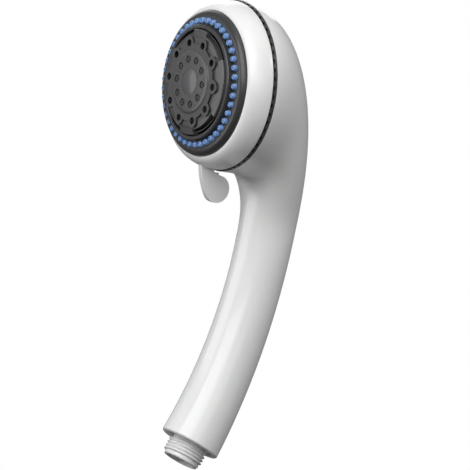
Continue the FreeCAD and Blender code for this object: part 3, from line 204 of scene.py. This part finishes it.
class Shader(NodeTree):
    """One material's node tree, with a Principled shader on its output."""

    def __init__(self, name: str) -> None:
        """Starts a material.

        Args:
            name: The material's name.
        """
        self.material = bpy.data.materials.new(name)
        self.material.use_nodes = True
        super().__init__(self.material.node_tree)
        self.surface = self.add("ShaderNodeBsdfPrincipled", {}, {})
        self.add("ShaderNodeOutputMaterial", {}, {"Surface": self.surface.outputs[0]})
        self.place = self.add("ShaderNodeTexCoord", {}, {}).outputs["Object"]

    def set(self, **values: object) -> None:
        """Sets or links the Principled shader's sockets.

        Args:
            **values: What each socket gets, under its name with underscores for spaces.
        """
        for key, value in values.items():
            self.feed(self.surface.inputs[key.replace("_", " ")], value)

    def noise(self, size_mm: float, detail: float = 3.0, rough: float = 0.5) -> Value:
        """Noise whose lumps are about one size across.

        Args:
            size_mm: The size.
            detail: The node's number of finer octaves.
            rough: How much each finer octave adds.

        Returns:
            The noise, about 0.5 on the whole.
        """
        made = self.add("ShaderNodeTexNoise", {}, {
            "Vector": self.place, "Scale": 1.0 / (size_mm * MM), "Detail": detail,
            "Roughness": rough})
        return Value(self, made.outputs[0])

    def on_head(self) -> tuple[Value, Value]:
        """Where a point lies on the head.

        Returns:
            Its distance from the head's axis and its height over the seam, in millimetres.
        """
        turned = self.add("ShaderNodeVectorRotate", {"rotation_type": "X_AXIS"}, {
            "Vector": self.place, "Center": Vector(HEAD.centre_mm) * MM,
            "Angle": -math.radians(90 + HEAD.tilt_degrees)})
        apart = self.add("ShaderNodeVectorMath", {"operation": "SUBTRACT"}, {
            0: turned.outputs[0], 1: Vector(HEAD.centre_mm) * MM})
        axes = self.add("ShaderNodeSeparateXYZ", {}, {0: apart.outputs[0]})
        flat = self.add("ShaderNodeCombineXYZ", {}, {0: axes.outputs[0], 1: axes.outputs[1]})
        reach = self.add("ShaderNodeVectorMath", {"operation": "LENGTH"}, {0: flat.outputs[0]})
        return Value(self, reach.outputs["Value"]) / MM, Value(self, axes.outputs[2]) / MM

    def facing_spray(self) -> Value:
        """How squarely the surface faces the spray direction, 1 for squarely."""
        spray = HEAD.matrix().to_3x3().normalized() @ Vector((0, 0, 1))
        normal = self.add("ShaderNodeNewGeometry", {}, {}).outputs["Normal"]
        made = self.add("ShaderNodeVectorMath", {"operation": "DOT_PRODUCT"}, {
            0: normal, 1: spray})
        return abs(Value(self, made.outputs["Value"]))

    def mix(self, share: Value, low: Colour, high: Colour) -> bpy.types.NodeSocket:
        """Mixes two colours by a share.

        Args:
            share: 0 for the first colour, 1 for the second.
            low: The first colour.
            high: The second colour.

        Returns:
            The mixed colour's socket.
        """
        made = self.add("ShaderNodeMix", {"data_type": "RGBA"}, {
            0: share, 6: (*low, 1.0), 7: (*high, 1.0)})
        return made.outputs[2]

    def bump(self, height: Value, strength: float, distance_mm: float) -> bpy.types.NodeSocket:
        """Bump normal from a height.

        Args:
            height: The height.
            strength: 0 to 1.
            distance_mm: The real depth for a height of 1.

        Returns:
            The normal's socket.
        """
        made = self.add("ShaderNodeBump", {}, {
            "Height": height, "Strength": strength, "Distance": distance_mm * MM})
        return made.outputs[0]


def shade(colour: Colour, factor: float, limit: float = 1.0) -> Colour:
    """A colour made lighter or darker.

    Args:
        colour: The colour.
        factor: What each of its channels is multiplied by.
        limit: The most a channel may be.

    Returns:
        The new colour.
    """
    return tuple(min(limit, c * factor) for c in colour)


@dataclass(frozen=True)
class MouldedPlastic:
    """Injection-moulded plastic: faint flow marks, fine grain and a slight gloss change.

    Painted shade: within the painted-shade radius on the head, what lies below the painted-shade
    height, and the walls there that stand along the spray, are darkened as if shade fell in
    them.
    """

    name: str
    colour: Colour
    roughness: float = 0.25
    variation: float = 0.03
    grain_mm: float = 0.35
    grain_depth_mm: float = 0.002
    waviness_mm: float = 14.0
    waviness_depth_mm: float = 0.02
    coat: float = 0.0
    subsurface: float = 0.0
    painted_shade_height: float = 0.0
    painted_shade_radius: float = 0.0
    painted_shade_level: float = 0.25
    painted_shade_floor_softness: float = 0.12
    painted_shade_edge_softness: float = 0.15
    painted_shade_wall_facing: float = 0.6
    grain_gloss: float = 0.08
    flow_gloss: float = 0.05
    refraction: float = 1.5
    coat_roughness: float = 0.06
    subsurface_m: float = 0.002

    def material(self) -> bpy.types.Material:
        """Builds the material."""
        s = Shader(self.name)
        flow = s.noise(self.waviness_mm, detail=4.0, rough=0.55)
        grain = s.noise(self.grain_mm, detail=2.0)
        tone_and_painted_shade = 1.0 + (flow - 0.5) * (2 * self.variation)
        # Painted shade: recess floors and walls near the head's axis are darkened to stand in
        # for the shade in hollows, pits and notches; the flow marks stay the plastic's own tone.
        if self.painted_shade_radius:
            radius, height = s.on_head()
            shaded_floors = 1.0 - height.over(self.painted_shade_height, self.painted_shade_floor_softness)
            shaded_walls = 1.0 - s.facing_spray().over(self.painted_shade_wall_facing, self.painted_shade_edge_softness)
            painted_shade_mask = shaded_floors.at_least(shaded_walls) * (
                1.0 - radius.over(self.painted_shade_radius, self.painted_shade_edge_softness))
            tone_and_painted_shade = tone_and_painted_shade * (1.0 - painted_shade_mask * (1 - self.painted_shade_level))
        colour = s.mix(tone_and_painted_shade * 0.5, (0.0, 0.0, 0.0), shade(self.colour, 2.0, 2.0))
        relief = flow * self.waviness_depth_mm + grain * self.grain_depth_mm
        s.set(Base_Color=colour, Roughness=self.roughness + (grain - 0.5) * self.grain_gloss
              + (flow - 0.5) * self.flow_gloss, IOR=self.refraction,
              Normal=s.bump(relief, 1.0, 1.0))
        s.set(Coat_Weight=self.coat, Coat_Roughness=self.coat_roughness)
        if self.subsurface:
            s.set(Subsurface_Weight=self.subsurface, Subsurface_Scale=self.subsurface_m)
        return s.material


@dataclass(frozen=True)
class Rubber:
    """Moulded rubber or silicone: soft sheen, dusty grain and fine pits."""

    name: str
    colour: Colour
    roughness: float = 0.45
    sheen: float = 0.15
    subsurface: float = 0.0
    cloud_mm: float = 3.0
    cloud_depth_mm: float = 0.02
    cloud_shade: float = 0.12
    cloud_gloss: float = 0.16
    pit_mm: float = 0.12
    pit_depth_mm: float = 0.006
    refraction: float = 1.43
    sheen_roughness: float = 0.4
    subsurface_m: float = 0.0015

    def material(self) -> bpy.types.Material:
        """Builds the material."""
        s = Shader(self.name)
        cloud = s.noise(self.cloud_mm, detail=4.0, rough=0.6)
        pits = s.noise(self.pit_mm, detail=2.0, rough=0.6)
        colour = s.mix(cloud, shade(self.colour, 1 - self.cloud_shade),
                       shade(self.colour, 1 + self.cloud_shade))
        relief = pits * self.pit_depth_mm + cloud * self.cloud_depth_mm
        s.set(Base_Color=colour, Roughness=self.roughness + (cloud - 0.5) * self.cloud_gloss,
              IOR=self.refraction, Sheen_Weight=self.sheen,
              Sheen_Roughness=self.sheen_roughness, Normal=s.bump(relief, 1.0, 1.0))
        if self.subsurface:
            s.set(Subsurface_Weight=self.subsurface, Subsurface_Scale=self.subsurface_m)
        return s.material


@dataclass(frozen=True)
class Steel:
    """Stainless steel with fine drawn or turned lines."""

    name: str
    colour: Colour = (0.6, 0.6, 0.61)
    roughness: float = 0.28
    stretch: tuple[float, float, float] = (1.0, 1.0, 14.0)
    lines_per_m: float = 900.0
    line_depth_mm: float = 0.004
    line_gloss: float = 0.2
    cloud_mm: float = 2.5
    darkest: float = 0.9
    lightest: float = 1.06

    def material(self) -> bpy.types.Material:
        """Builds the material."""
        s = Shader(self.name)
        turned = s.add("ShaderNodeMapping", {}, {"Vector": s.place, "Scale": self.stretch})
        lines = s.add("ShaderNodeTexNoise", {}, {
            "Vector": turned.outputs[0], "Scale": self.lines_per_m, "Detail": 3.0})
        line = Value(s, lines.outputs[0])
        colour = s.mix(s.noise(self.cloud_mm), shade(self.colour, self.darkest),
                       shade(self.colour, self.lightest))
        s.set(Base_Color=colour, Metallic=1.0,
              Roughness=self.roughness + (line - 0.5) * self.line_gloss,
              Normal=s.bump(line * self.line_depth_mm, 1.0, 1.0))
        return s.material


Finish = MouldedPlastic | Rubber | Steel

WHITE = MouldedPlastic(
    "gloss_white_shell", (0.83, 0.83, 0.828), roughness=0.23, variation=0.012, grain_mm=0.5,
    grain_depth_mm=0.0012, waviness_mm=16.0, waviness_depth_mm=0.002, coat=0.45,
    subsurface=0.08)
WHITE_RING = MouldedPlastic(
    "gloss_white_ring", (0.82, 0.82, 0.818), roughness=0.24, variation=0.012, grain_mm=0.4,
    grain_depth_mm=0.0012, waviness_mm=11.0, waviness_depth_mm=0.002, coat=0.35,
    subsurface=0.08)
WHITE_THREAD = MouldedPlastic(
    "white_thread", (0.82, 0.82, 0.818), roughness=0.26, variation=0.02, grain_mm=0.3,
    grain_depth_mm=0.003, waviness_mm=6.0, waviness_depth_mm=0.01, coat=0.1, subsurface=0.06)
# Painted shade darkens the face plate's windows and the collar's inner wall.
CHARCOAL = MouldedPlastic(
    "charcoal_face", (0.04, 0.04, 0.042), roughness=0.3, variation=0.06, grain_mm=0.18,
    grain_depth_mm=0.004, waviness_mm=9.0, waviness_depth_mm=0.01, coat=0.12,
    painted_shade_height=16.1, painted_shade_radius=27.3)
# Painted shade darkens the insert's low floors and their walls.
CHARCOAL_INSERT = MouldedPlastic(
    "charcoal_insert", (0.066, 0.067, 0.069), roughness=0.3, variation=0.06, grain_mm=0.16,
    grain_depth_mm=0.004, waviness_mm=7.0, waviness_depth_mm=0.01, coat=0.15,
    painted_shade_height=21.35, painted_shade_radius=23.6)
# Painted shade darkens the mist disc's pit walls and boss bores.
CHARCOAL_DISC = MouldedPlastic(
    "charcoal_mist_disc", (0.078, 0.079, 0.082), roughness=0.28, variation=0.06, grain_mm=0.2,
    grain_depth_mm=0.003, waviness_mm=5.0, waviness_depth_mm=0.012, coat=0.2,
    painted_shade_height=23.05, painted_shade_radius=14.2)
CHARCOAL_CAP = MouldedPlastic(
    "charcoal_cap", (0.095, 0.096, 0.1), roughness=0.3, variation=0.05, grain_mm=0.15,
    grain_depth_mm=0.003, waviness_mm=4.0, waviness_depth_mm=0.01, coat=0.25)
# Painted shade darkens the seam band's notches, leaving the tooth tops lighter.
SEAM_BLACK = MouldedPlastic(
    "black_seam_band", (0.045, 0.045, 0.047), roughness=0.36, variation=0.1, grain_mm=0.2,
    grain_depth_mm=0.005, waviness_mm=4.0, waviness_depth_mm=0.01, painted_shade_height=10.0,
    painted_shade_radius=43.35, painted_shade_level=0.06)
GREY_MOULDING = MouldedPlastic(
    "grey_glass_filled", (0.52, 0.53, 0.54), roughness=0.48, variation=0.06, grain_mm=0.12,
    grain_depth_mm=0.008, waviness_mm=3.0)
ACETAL = MouldedPlastic(
    "natural_acetal", (0.76, 0.77, 0.75), roughness=0.36, grain_mm=0.2, grain_depth_mm=0.004,
    waviness_mm=4.0, waviness_depth_mm=0.01, subsurface=0.15)
TUBE_PLASTIC = MouldedPlastic(
    "natural_tube", (0.8, 0.8, 0.76), roughness=0.33, grain_mm=0.3, grain_depth_mm=0.003,
    waviness_mm=8.0, waviness_depth_mm=0.015, subsurface=0.2)
PALE_FLOOR = MouldedPlastic(
    "pale_floor", (0.8, 0.8, 0.8), roughness=0.7, variation=0.01, grain_mm=5.0,
    grain_depth_mm=0.01, waviness_mm=400.0, waviness_depth_mm=0.01)
BLUE_SILICONE = Rubber("blue_silicone", (0.17, 0.31, 0.6), roughness=0.2, subsurface=0.15)
BLACK_RUBBER = Rubber("black_rubber", (0.03, 0.03, 0.032), roughness=0.55, sheen=0.3)
STAINLESS = Steel("stainless_parts")
SCREEN = Steel("stainless_screen", (0.55, 0.55, 0.56), roughness=0.36, stretch=(6.0, 6.0, 1.0))

DRESS: dict[str, Finish] = {
    "handle_shell": WHITE, "inlet_filter": SCREEN, "filter_gasket": BLACK_RUBBER,
    "flow_restrictor": ACETAL, "water_tube": TUBE_PLASTIC, "tube_o_rings": BLACK_RUBBER,
    "valve_body": GREY_MOULDING, "valve_screws": STAINLESS, "port_seal": BLACK_RUBBER,
    "port_seal_spring": STAINLESS, "detent_plunger": ACETAL, "detent_spring": STAINLESS,
    "pivot_washer": STAINLESS, "pivot_screw": STAINLESS, "seam_ring": SEAM_BLACK,
    "distributor": GREY_MOULDING, "face_screws": STAINLESS, "face_gasket": BLACK_RUBBER,
    "face_plate": CHARCOAL, "nozzle_backing_ring": ACETAL, "swirl_plate": ACETAL,
    "spray_insert": CHARCOAL_INSERT, "post_o_ring": BLACK_RUBBER, "mist_disc": CHARCOAL_DISC,
    "centre_cap": CHARCOAL_CAP, "turbine_rotor": ACETAL,
}


# ---- mesh tools --------------------------------------------------------------------------
def outline(bm: bmesh.types.BMesh, corners: list[tuple[float, float]],
            closed: bool) -> list[bmesh.types.BMEdge]:
    """Edges through (radius, height) corners in the plane Y = 0.

    Args:
        bm: The mesh to add to.
        corners: The corners, in order.
        closed: Whether the last corner joins the first.

    Returns:
        The new edges.
    """
    verts = [bm.verts.new((r, 0.0, h)) for r, h in corners]
    pairs = list(zip(verts, verts[1:]))
    if closed:
        pairs.append((verts[-1], verts[0]))
    return [bm.edges.new(pair) for pair in pairs]


def quarter(centre: tuple[float, float], half: tuple[float, float], start: float, end: float,
            steps: int) -> list[tuple[float, float]]:
    """Points on an ellipse arc.

    Args:
        centre: Radius and height of the ellipse's centre.
        half: Its two half axes.
        start: First angle in degrees, from the radial direction.
        end: Last angle in degrees.
        steps: Number of segments.

    Returns:
        The (radius, height) points.
    """
    turns = [math.radians(start + (end - start) * i / steps) for i in range(steps + 1)]
    return [(centre[0] + half[0] * math.cos(t), centre[1] + half[1] * math.sin(t))
            for t in turns]


def lathe(corners: list[tuple[float, float]], steps: int, closed: bool) -> bmesh.types.BMesh:
    """Solid of revolution about the height axis.

    Args:
        corners: The profile's (radius, height) corners.
        steps: Segments in the full turn.
        closed: Whether the profile is a closed loop.

    Returns:
        The mesh.
    """
    bm = bmesh.new()
    edges = outline(bm, corners, closed)
    bmesh.ops.spin(bm, geom=[*edges, *bm.verts], cent=(0, 0, 0), axis=(0, 0, 1), dvec=(0, 0, 0),
                   angle=2 * math.pi, steps=steps, use_merge=True, use_duplicate=False)
    bmesh.ops.remove_doubles(bm, verts=bm.verts[:], dist=1e-4)
    bmesh.ops.recalc_face_normals(bm, faces=bm.faces[:])
    return bm


def to_object(bm: bmesh.types.BMesh, name: str, place: Matrix,
              material: bpy.types.Material, sharp_degrees: float = 35.0) -> bpy.types.Object:
    """Makes a finished object of a mesh in millimetres.

    Args:
        bm: The mesh, freed here.
        name: The object's name.
        place: Takes its points to the object's frame in metres.
        material: Its material.
        sharp_degrees: Edges sharper than this stay sharp.

    Returns:
        The object, at the origin.
    """
    bmesh.ops.transform(bm, matrix=place, verts=bm.verts[:])
    if place.determinant() < 0:
        bmesh.ops.reverse_faces(bm, faces=bm.faces[:])
    for edge in bm.edges:
        if len(edge.link_faces) == 2:
            edge.smooth = edge.calc_face_angle(0.0) < math.radians(sharp_degrees)
    for face in bm.faces:
        face.smooth = True
    mesh = bpy.data.meshes.new(name)
    bm.to_mesh(mesh)
    bm.free()
    mesh.materials.append(material)
    made = bpy.data.objects.new(name, mesh)
    bpy.context.scene.collection.objects.link(made)
    return made


def join(parts: list[bmesh.types.BMesh]) -> bmesh.types.BMesh:
    """Puts several meshes into the first one.

    Args:
        parts: The meshes; all but the first are freed.

    Returns:
        The first mesh.
    """
    for part in parts[1:]:
        spare = bpy.data.meshes.new("spare")
        part.to_mesh(spare)
        part.free()
        parts[0].from_mesh(spare)
        bpy.data.meshes.remove(spare)
    return parts[0]


# ---- sub-assemblies ----------------------------------------------------------------------
@dataclass
class ThreadedInlet:
    """The threaded inlet, with its real helical thread, its lead-in and its bored mouth."""

    major_r: float = 20.955 / 2
    minor_r: float = 18.631 / 2
    pitch: float = 1.814
    turns: float = 4.4
    first_turn: float = 0.55
    length: float = 9.0
    undercut_r: float = 9.2
    plug_r: float = 11.0
    plug_bottom: float = 12.2
    plug_top: float = 22.2
    neck_r: float = 8.5
    top: float = 31.0
    mouth_r: float = 8.1
    mouth_depth: float = 10.5
    tube_bore_r: float = 3.75
    tube_socket_r: float = 5.05
    tube_start: float = 14.2
    mouth_lip: float = 0.35
    lead_in: float = 0.5
    plug_edge: float = 0.3
    root_share: float = 0.47
    crest_share: float = 0.11
    crest_round: float = 0.12
    sunk: float = 0.15
    run_out_turns: float = 0.35
    steps: int = 96

    def body(self) -> bmesh.types.BMesh:
        """The turned body under the thread."""
        lip, edge = self.mouth_lip, self.plug_edge
        corners = quarter((self.mouth_r + lip, lip), (lip, lip), 180, 270, 4)
        corners += [(self.minor_r - self.lead_in, 0.0), (self.minor_r, self.lead_in),
                    (self.minor_r, self.length), (self.undercut_r, self.length + self.lead_in),
                    (self.undercut_r, self.plug_bottom), (self.plug_r - edge, self.plug_bottom),
                    (self.plug_r, self.plug_bottom + edge), (self.plug_r, self.plug_top),
                    (self.neck_r, self.plug_top), (self.neck_r, self.top),
                    (self.tube_socket_r, self.top), (self.tube_socket_r, self.tube_start),
                    (self.tube_bore_r, self.tube_start), (self.tube_bore_r, self.mouth_depth),
                    (self.mouth_r, self.mouth_depth)]
        return lathe(corners, self.steps, True)

    def thread(self) -> bmesh.types.BMesh:
        """The helical ridge: a tooth swept up the screw, running out at both ends."""
        bm = bmesh.new()
        root = self.root_share * self.pitch
        crest = self.crest_share * self.pitch
        base = self.first_turn + root
        sunk = self.minor_r - self.sunk
        flank = self.major_r - self.crest_round
        tooth = [(sunk, base - root), (self.minor_r, base - root),
                 (flank, base - crest - 0.1), (self.major_r, base - crest + 0.06),
                 (self.major_r, base + crest - 0.06), (flank, base + crest + 0.1),
                 (self.minor_r, base + root), (sunk, base + root)]
        edges = outline(bm, tooth, True)
        start = bm.faces.new([e.verts[0] for e in edges])
        bmesh.ops.spin(
            bm, geom=[start, *start.edges, *start.verts], cent=(0, 0, 0), axis=(0, 0, 1),
            dvec=(0, 0, self.pitch / self.steps), angle=2 * math.pi * self.turns,
            steps=int(self.steps * self.turns), use_merge=False, use_duplicate=False)
        low, high = base, base + self.pitch * self.turns
        run = self.run_out_turns * self.pitch
        for vert in bm.verts:
            reach = math.hypot(vert.co.x, vert.co.y)
            turn = math.atan2(vert.co.y, vert.co.x) % (2 * math.pi)
            lead = self.pitch * turn / (2 * math.pi)
            lap = round((vert.co.z - base - lead) / self.pitch)
            along = base + lead + lap * self.pitch
            fade = min(1.0, max(0.0, min(along - low, high - along) / run))
            if reach > self.minor_r:
                wanted = self.minor_r - 0.1 + (reach - self.minor_r + 0.1) * fade
                vert.co.x *= wanted / reach
                vert.co.y *= wanted / reach
        bmesh.ops.recalc_face_normals(bm, faces=bm.faces[:])
        return bm

    def build(self) -> bpy.types.Object:
        """Builds, dresses and places the inlet."""
        made = to_object(join([self.body(), self.thread()]), "threaded_inlet",
                         Matrix.Scale(MM, 4), WHITE_THREAD.material(), 30.0)
        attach(made, Body.HANDLE.value)
        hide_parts("inlet_spigot")
        return made


@dataclass
class SelectorRing:
    """White front ring with its finger lever, both with the soft edges of a moulding."""

    ring_r: float = 43.4
    opening_r: float = 37.4
    back: float = 1.1
    front: float = 13.4
    shoulder: float = 10.1
    flange_r: float = 39.2
    skirt_r: float = 41.2
    bead_r: float = 38.5
    bead_top: float = 7.9
    seam_r: float = 44.2
    lever_thickness: float = 3.4
    lobe_r: float = 7.1
    lobe_height: float = -2.2
    lobe_drop: float = 9.2
    front_edge_r: float = 42.0
    tangent: float = -31.0
    lobe_end: float = 95.0
    overhang: float = 0.7
    edge_round: float = 1.05
    lip: float = 0.28
    bite: float = 0.4
    rim_reach: float = 6.0
    face_steps: int = 14
    lobe_steps: int = 24
    steps: int = 192

    def ring(self) -> bmesh.types.BMesh:
        """The turned ring, its front lip rounded over."""
        crown = quarter((self.opening_r, self.back),
                        (self.ring_r - self.opening_r, self.front - self.back), 2, 84, 20)
        roll = quarter((self.opening_r + self.lip, crown[-1][1] - self.lip - 0.04),
                       (self.lip, self.lip), 80, 180, 5)
        corners = [(self.ring_r - 0.25, self.back), (self.ring_r - 0.05, self.back + 0.15)]
        corners += crown + roll
        corners += [(self.opening_r, self.shoulder), (self.flange_r, self.shoulder),
                    (self.flange_r, self.bead_top), (self.bead_r, self.bead_top - 0.2),
                    (self.bead_r, self.bead_top - 1.0), (self.flange_r, self.bead_top - 1.4),
                    (self.skirt_r, self.back + 2.0), (self.skirt_r, self.back)]
        return lathe(corners, self.steps, True)

    def lever_outline(self) -> list[tuple[float, float]]:
        """The lever's side view.

        Returns:
            (drop below the head's centre, height) points, in order.
        """
        drop = self.seam_r + self.lobe_drop

        def along(angle: float) -> tuple[float, float]:
            """A unit direction in (drop, height)."""
            return -math.sin(math.radians(angle)), math.cos(math.radians(angle))

        tangent = along(self.tangent)
        centre = (drop - tangent[0] * (self.front_edge_r - self.lobe_r),
                  self.lobe_height - tangent[1] * (self.front_edge_r - self.lobe_r))
        inside = self.flange_r + self.bite
        join_drop = drop + tangent[0] * self.lobe_r
        points = []
        for i in range(self.face_steps + 1):
            at = inside + 0.3 + (join_drop - inside - 0.3) * i / self.face_steps
            points.append((at, centre[1] + math.sqrt(self.front_edge_r ** 2
                                                     - (at - centre[0]) ** 2)))
        sweep = self.lobe_end - self.tangent - 360
        for i in range(1, self.lobe_steps + 1):
            x, y = along(self.tangent + sweep * i / self.lobe_steps)
            points.append((drop + x * self.lobe_r, self.lobe_height + y * self.lobe_r))
        edge = self.seam_r + self.overhang
        points += [(edge + 1.0, self.lobe_height + 0.6), (edge, self.lobe_height + 0.6),
                   (edge, self.back + 0.3), (self.ring_r - 1.0, self.back + 0.3),
                   (inside, self.shoulder + 0.5)]
        return points

    def lever(self) -> bmesh.types.BMesh:
        """The flat lever, its rim rounded."""
        bm = bmesh.new()
        half = 0.5 * self.lever_thickness
        verts = [bm.verts.new((-half, -drop, height)) for drop, height in self.lever_outline()]
        side = bm.faces.new(verts)
        grown = bmesh.ops.extrude_face_region(bm, geom=[side])
        moved = [g for g in grown["geom"] if isinstance(g, bmesh.types.BMVert)]
        bmesh.ops.translate(bm, verts=moved, vec=(self.lever_thickness, 0, 0))
        bmesh.ops.recalc_face_normals(bm, faces=bm.faces[:])
        rims = [e for e in bm.edges if abs(e.verts[0].co.x - e.verts[1].co.x) < 1e-6
                and -0.5 * (e.verts[0].co.y + e.verts[1].co.y) > self.seam_r - self.rim_reach]
        bmesh.ops.bevel(bm, geom=rims, offset=self.edge_round, offset_type="OFFSET",
                        affect="EDGES", segments=4, profile=0.5, material=-1,
                        clamp_overlap=True)
        bmesh.ops.recalc_face_normals(bm, faces=bm.faces[:])
        return bm

    def build(self) -> bpy.types.Object:
        """Builds, dresses and places the ring."""
        made = to_object(join([self.ring(), self.lever()]), "front_ring_and_lever",
                         HEAD.matrix(), WHITE_RING.material(), 40.0)
        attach(made, Body.SELECTOR.value)
        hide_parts("selector_ring")
        return made


@dataclass
class NozzleRing:
    """Silicone ring with its round-shouldered nozzles."""

    count: int = 42
    circle_r: float = 31.75
    base_r: float = 1.75
    tip_r: float = 1.42
    bore_r: float = 0.5
    top: float = 18.3
    sheet_top: float = 14.35
    sheet_thickness: float = 2.0
    half_width: float = 2.9
    shoulder: float = 0.62
    taper_start: float = 16.5
    dimple_depth: float = 0.14
    sheet_steps: int = 84
    steps: int = 20

    def nozzle(self) -> bmesh.types.BMesh:
        """One nozzle about its own axis: tapered wall, round shoulder, dimpled tip."""
        rim = quarter((self.tip_r - self.shoulder, self.top - self.shoulder),
                      (self.shoulder, self.shoulder), 8, 90, 5)
        corners = [(self.base_r, self.sheet_top - 0.5), (self.base_r - 0.02, self.taper_start),
                   *rim, (self.bore_r + 0.12, self.top - 0.02),
                   (self.bore_r, self.top - self.dimple_depth),
                   (self.bore_r, self.sheet_top - self.sheet_thickness)]
        return lathe(corners, self.steps, False)

    def build(self) -> bpy.types.Object:
        """Builds, dresses and places the ring."""
        low = self.sheet_top - self.sheet_thickness
        inner, outer = self.circle_r - self.half_width, self.circle_r + self.half_width
        parts = [lathe([(inner, low), (outer, low), (outer, self.sheet_top),
                        (inner, self.sheet_top)], self.sheet_steps, True)]
        for i in range(self.count):
            turn = 2 * math.pi * i / self.count
            one = self.nozzle()
            bmesh.ops.translate(one, verts=one.verts[:], vec=(
                self.circle_r * math.sin(turn), self.circle_r * math.cos(turn), 0))
            parts.append(one)
        made = to_object(join(parts), "rubber_nozzles", HEAD.matrix(),
                         BLUE_SILICONE.material(), 50.0)
        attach(made, Body.SELECTOR.value)
        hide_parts("nozzle_membrane")
        return made


@dataclass
class CarriedNodes:
    """The CAD nodes that keep their shape and get a moulded, rubber or steel finish."""

    dress: dict[str, Finish] = field(default_factory=lambda: DRESS)

    def build(self) -> int:
        """Puts one finish on every slot of each node.

        Returns:
            The number of nodes dressed.
        """
        made: dict[str, bpy.types.Material] = {}
        for node, finish in self.dress.items():
            if finish.name not in made:
                made[finish.name] = finish.material()
            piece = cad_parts[node]
            for place in piece.material_slots:
                place.material = made[finish.name]
        return len(self.dress)


@dataclass(frozen=True)
class Lamp:
    """A square soft lamp, placed by the camera's own directions.

    Attributes:
        name: The lamp's name.
        side: Share of its direction to the camera's right.
        lift: Share upward in the view.
        near: Share toward the camera.
        away: Distance from the object in metres.
        size: Edge in metres.
        watts: Power.
    """

    name: str
    side: float
    lift: float
    near: float
    away: float
    size: float
    watts: float


LAMPS = (
    Lamp("key", side=-0.30, lift=0.60, near=0.88, away=1.3, size=1.2, watts=13.6),
    Lamp("top", side=0.30, lift=1.0, near=0.30, away=1.3, size=1.0, watts=2.0),
    Lamp("side", side=-1.0, lift=0.1, near=0.1, away=1.2, size=0.9, watts=4.2),
    Lamp("front", side=0.35, lift=0.25, near=0.9, away=1.5, size=0.9, watts=3.4),
    Lamp("back", side=-0.15, lift=0.50, near=-1.0, away=1.4, size=1.1, watts=4.5),
    Lamp("right", side=1.0, lift=0.55, near=0.30, away=1.4, size=0.25, watts=1.3),
)


@dataclass
class Studio:
    """Pale floor, white surroundings, soft lamps and the camera."""

    target_mm: tuple[float, float, float] = (-2.35, -36.1, 113.5)
    towards: tuple[float, float, float] = (0.823, -0.546, -0.156)
    right: tuple[float, float, float] = (0.547, 0.687, 0.479)
    width_mm: float = 240.8
    distance: float = 4.0
    sensor_mm: float = 36.0
    floor_drop: float = 1.2
    floor_half_mm: float = 9000.0
    floor_glow: float = 0.62
    dark_sky: float = 0.05
    bright_sky: float = 0.34

    def lamp(self, made: Lamp) -> None:
        """Adds one lamp.

        Args:
            made: Its place, size and power.
        """
        back = Vector(self.towards).normalized()
        right = Vector(self.right).normalized()
        up = back.cross(right)
        direction = (right * made.side + up * made.lift + back * made.near).normalized()
        light = bpy.data.lights.new(made.name, "AREA")
        light.shape = "SQUARE"
        light.size = made.size
        light.energy = made.watts
        lamp = bpy.data.objects.new(made.name, light)
        lamp.location = Vector(self.target_mm) * MM + direction * made.away
        lamp.rotation_mode = "QUATERNION"
        lamp.rotation_quaternion = direction.to_track_quat("Z", "Y")
        bpy.context.scene.collection.objects.link(lamp)

    def camera(self) -> None:
        """Adds the long-lens camera."""
        back = Vector(self.towards).normalized()
        right = Vector(self.right)
        right = (right - back * right.dot(back)).normalized()
        up = back.cross(right)
        data = bpy.data.cameras.new("camera")
        data.sensor_width = self.sensor_mm
        data.lens = self.sensor_mm * self.distance / (self.width_mm * MM)
        data.clip_end = 100.0
        camera = bpy.data.objects.new("camera", data)
        turn = Matrix((right, up, back)).transposed().to_4x4()
        camera.matrix_world = Matrix.Translation(
            Vector(self.target_mm) * MM + back * self.distance) @ turn
        bpy.context.scene.collection.objects.link(camera)
        bpy.context.scene.camera = camera

    def surroundings(self) -> None:
        """Plain white behind everything, and a softer grey that lights the object."""
        world = bpy.data.worlds.new("studio")
        world.use_nodes = True
        tree = NodeTree(world.node_tree)
        white = (1.0, 1.0, 1.0, 1.0)
        sky = tree.add("ShaderNodeTexCoord", {}, {})
        axes = tree.add("ShaderNodeSeparateXYZ", {}, {0: sky.outputs["Generated"]})
        fade = tree.add("ShaderNodeMapRange", {}, {
            "Value": axes.outputs[2], "From Min": -1.0, "From Max": 1.0,
            "To Min": self.dark_sky, "To Max": self.bright_sky})
        lit = tree.add("ShaderNodeBackground", {}, {"Color": white, "Strength": fade.outputs[0]})
        seen = tree.add("ShaderNodeBackground", {}, {"Color": white})
        path = tree.add("ShaderNodeLightPath", {}, {})
        mixer = tree.add("ShaderNodeMixShader", {}, {
            0: path.outputs["Is Camera Ray"], 1: lit.outputs[0], 2: seen.outputs[0]})
        tree.add("ShaderNodeOutputWorld", {}, {"Surface": mixer.outputs[0]})
        bpy.context.scene.world = world

    def floor(self) -> None:
        """Adds the pale floor, low enough to stay out of the low view."""
        bm = bmesh.new()
        bmesh.ops.create_grid(bm, x_segments=2, y_segments=2, size=self.floor_half_mm)
        bmesh.ops.translate(bm, verts=bm.verts[:], vec=(0, 0, -self.floor_drop / MM))
        material = PALE_FLOOR.material()
        surface = material.node_tree.nodes["Principled BSDF"]
        surface.inputs["Emission Color"].default_value = (1, 1, 1, 1)
        surface.inputs["Emission Strength"].default_value = self.floor_glow
        made = to_object(bm, "floor", Matrix.Scale(MM, 4), material)
        made.visible_diffuse = False
        made.visible_glossy = False

    def build(self) -> None:
        """Builds the whole studio."""
        scene = bpy.context.scene
        scene.view_settings.view_transform = "Standard"
        self.camera()
        self.surroundings()
        self.floor()
        for lamp in LAMPS:
            self.lamp(lamp)


def main() -> None:
    """Builds the studio and every piece, in order."""
    logging.basicConfig(level=logging.INFO, format="%(message)s")
    Studio().build()
    LOG.info("carried nodes: %d", CarriedNodes().build())
    for maker in (ThreadedInlet(), SelectorRing(), NozzleRing()):
        made = maker.build()
        LOG.info("%s: %d faces", made.name, len(made.data.polygons))


if __name__ == "__main__":
    main()
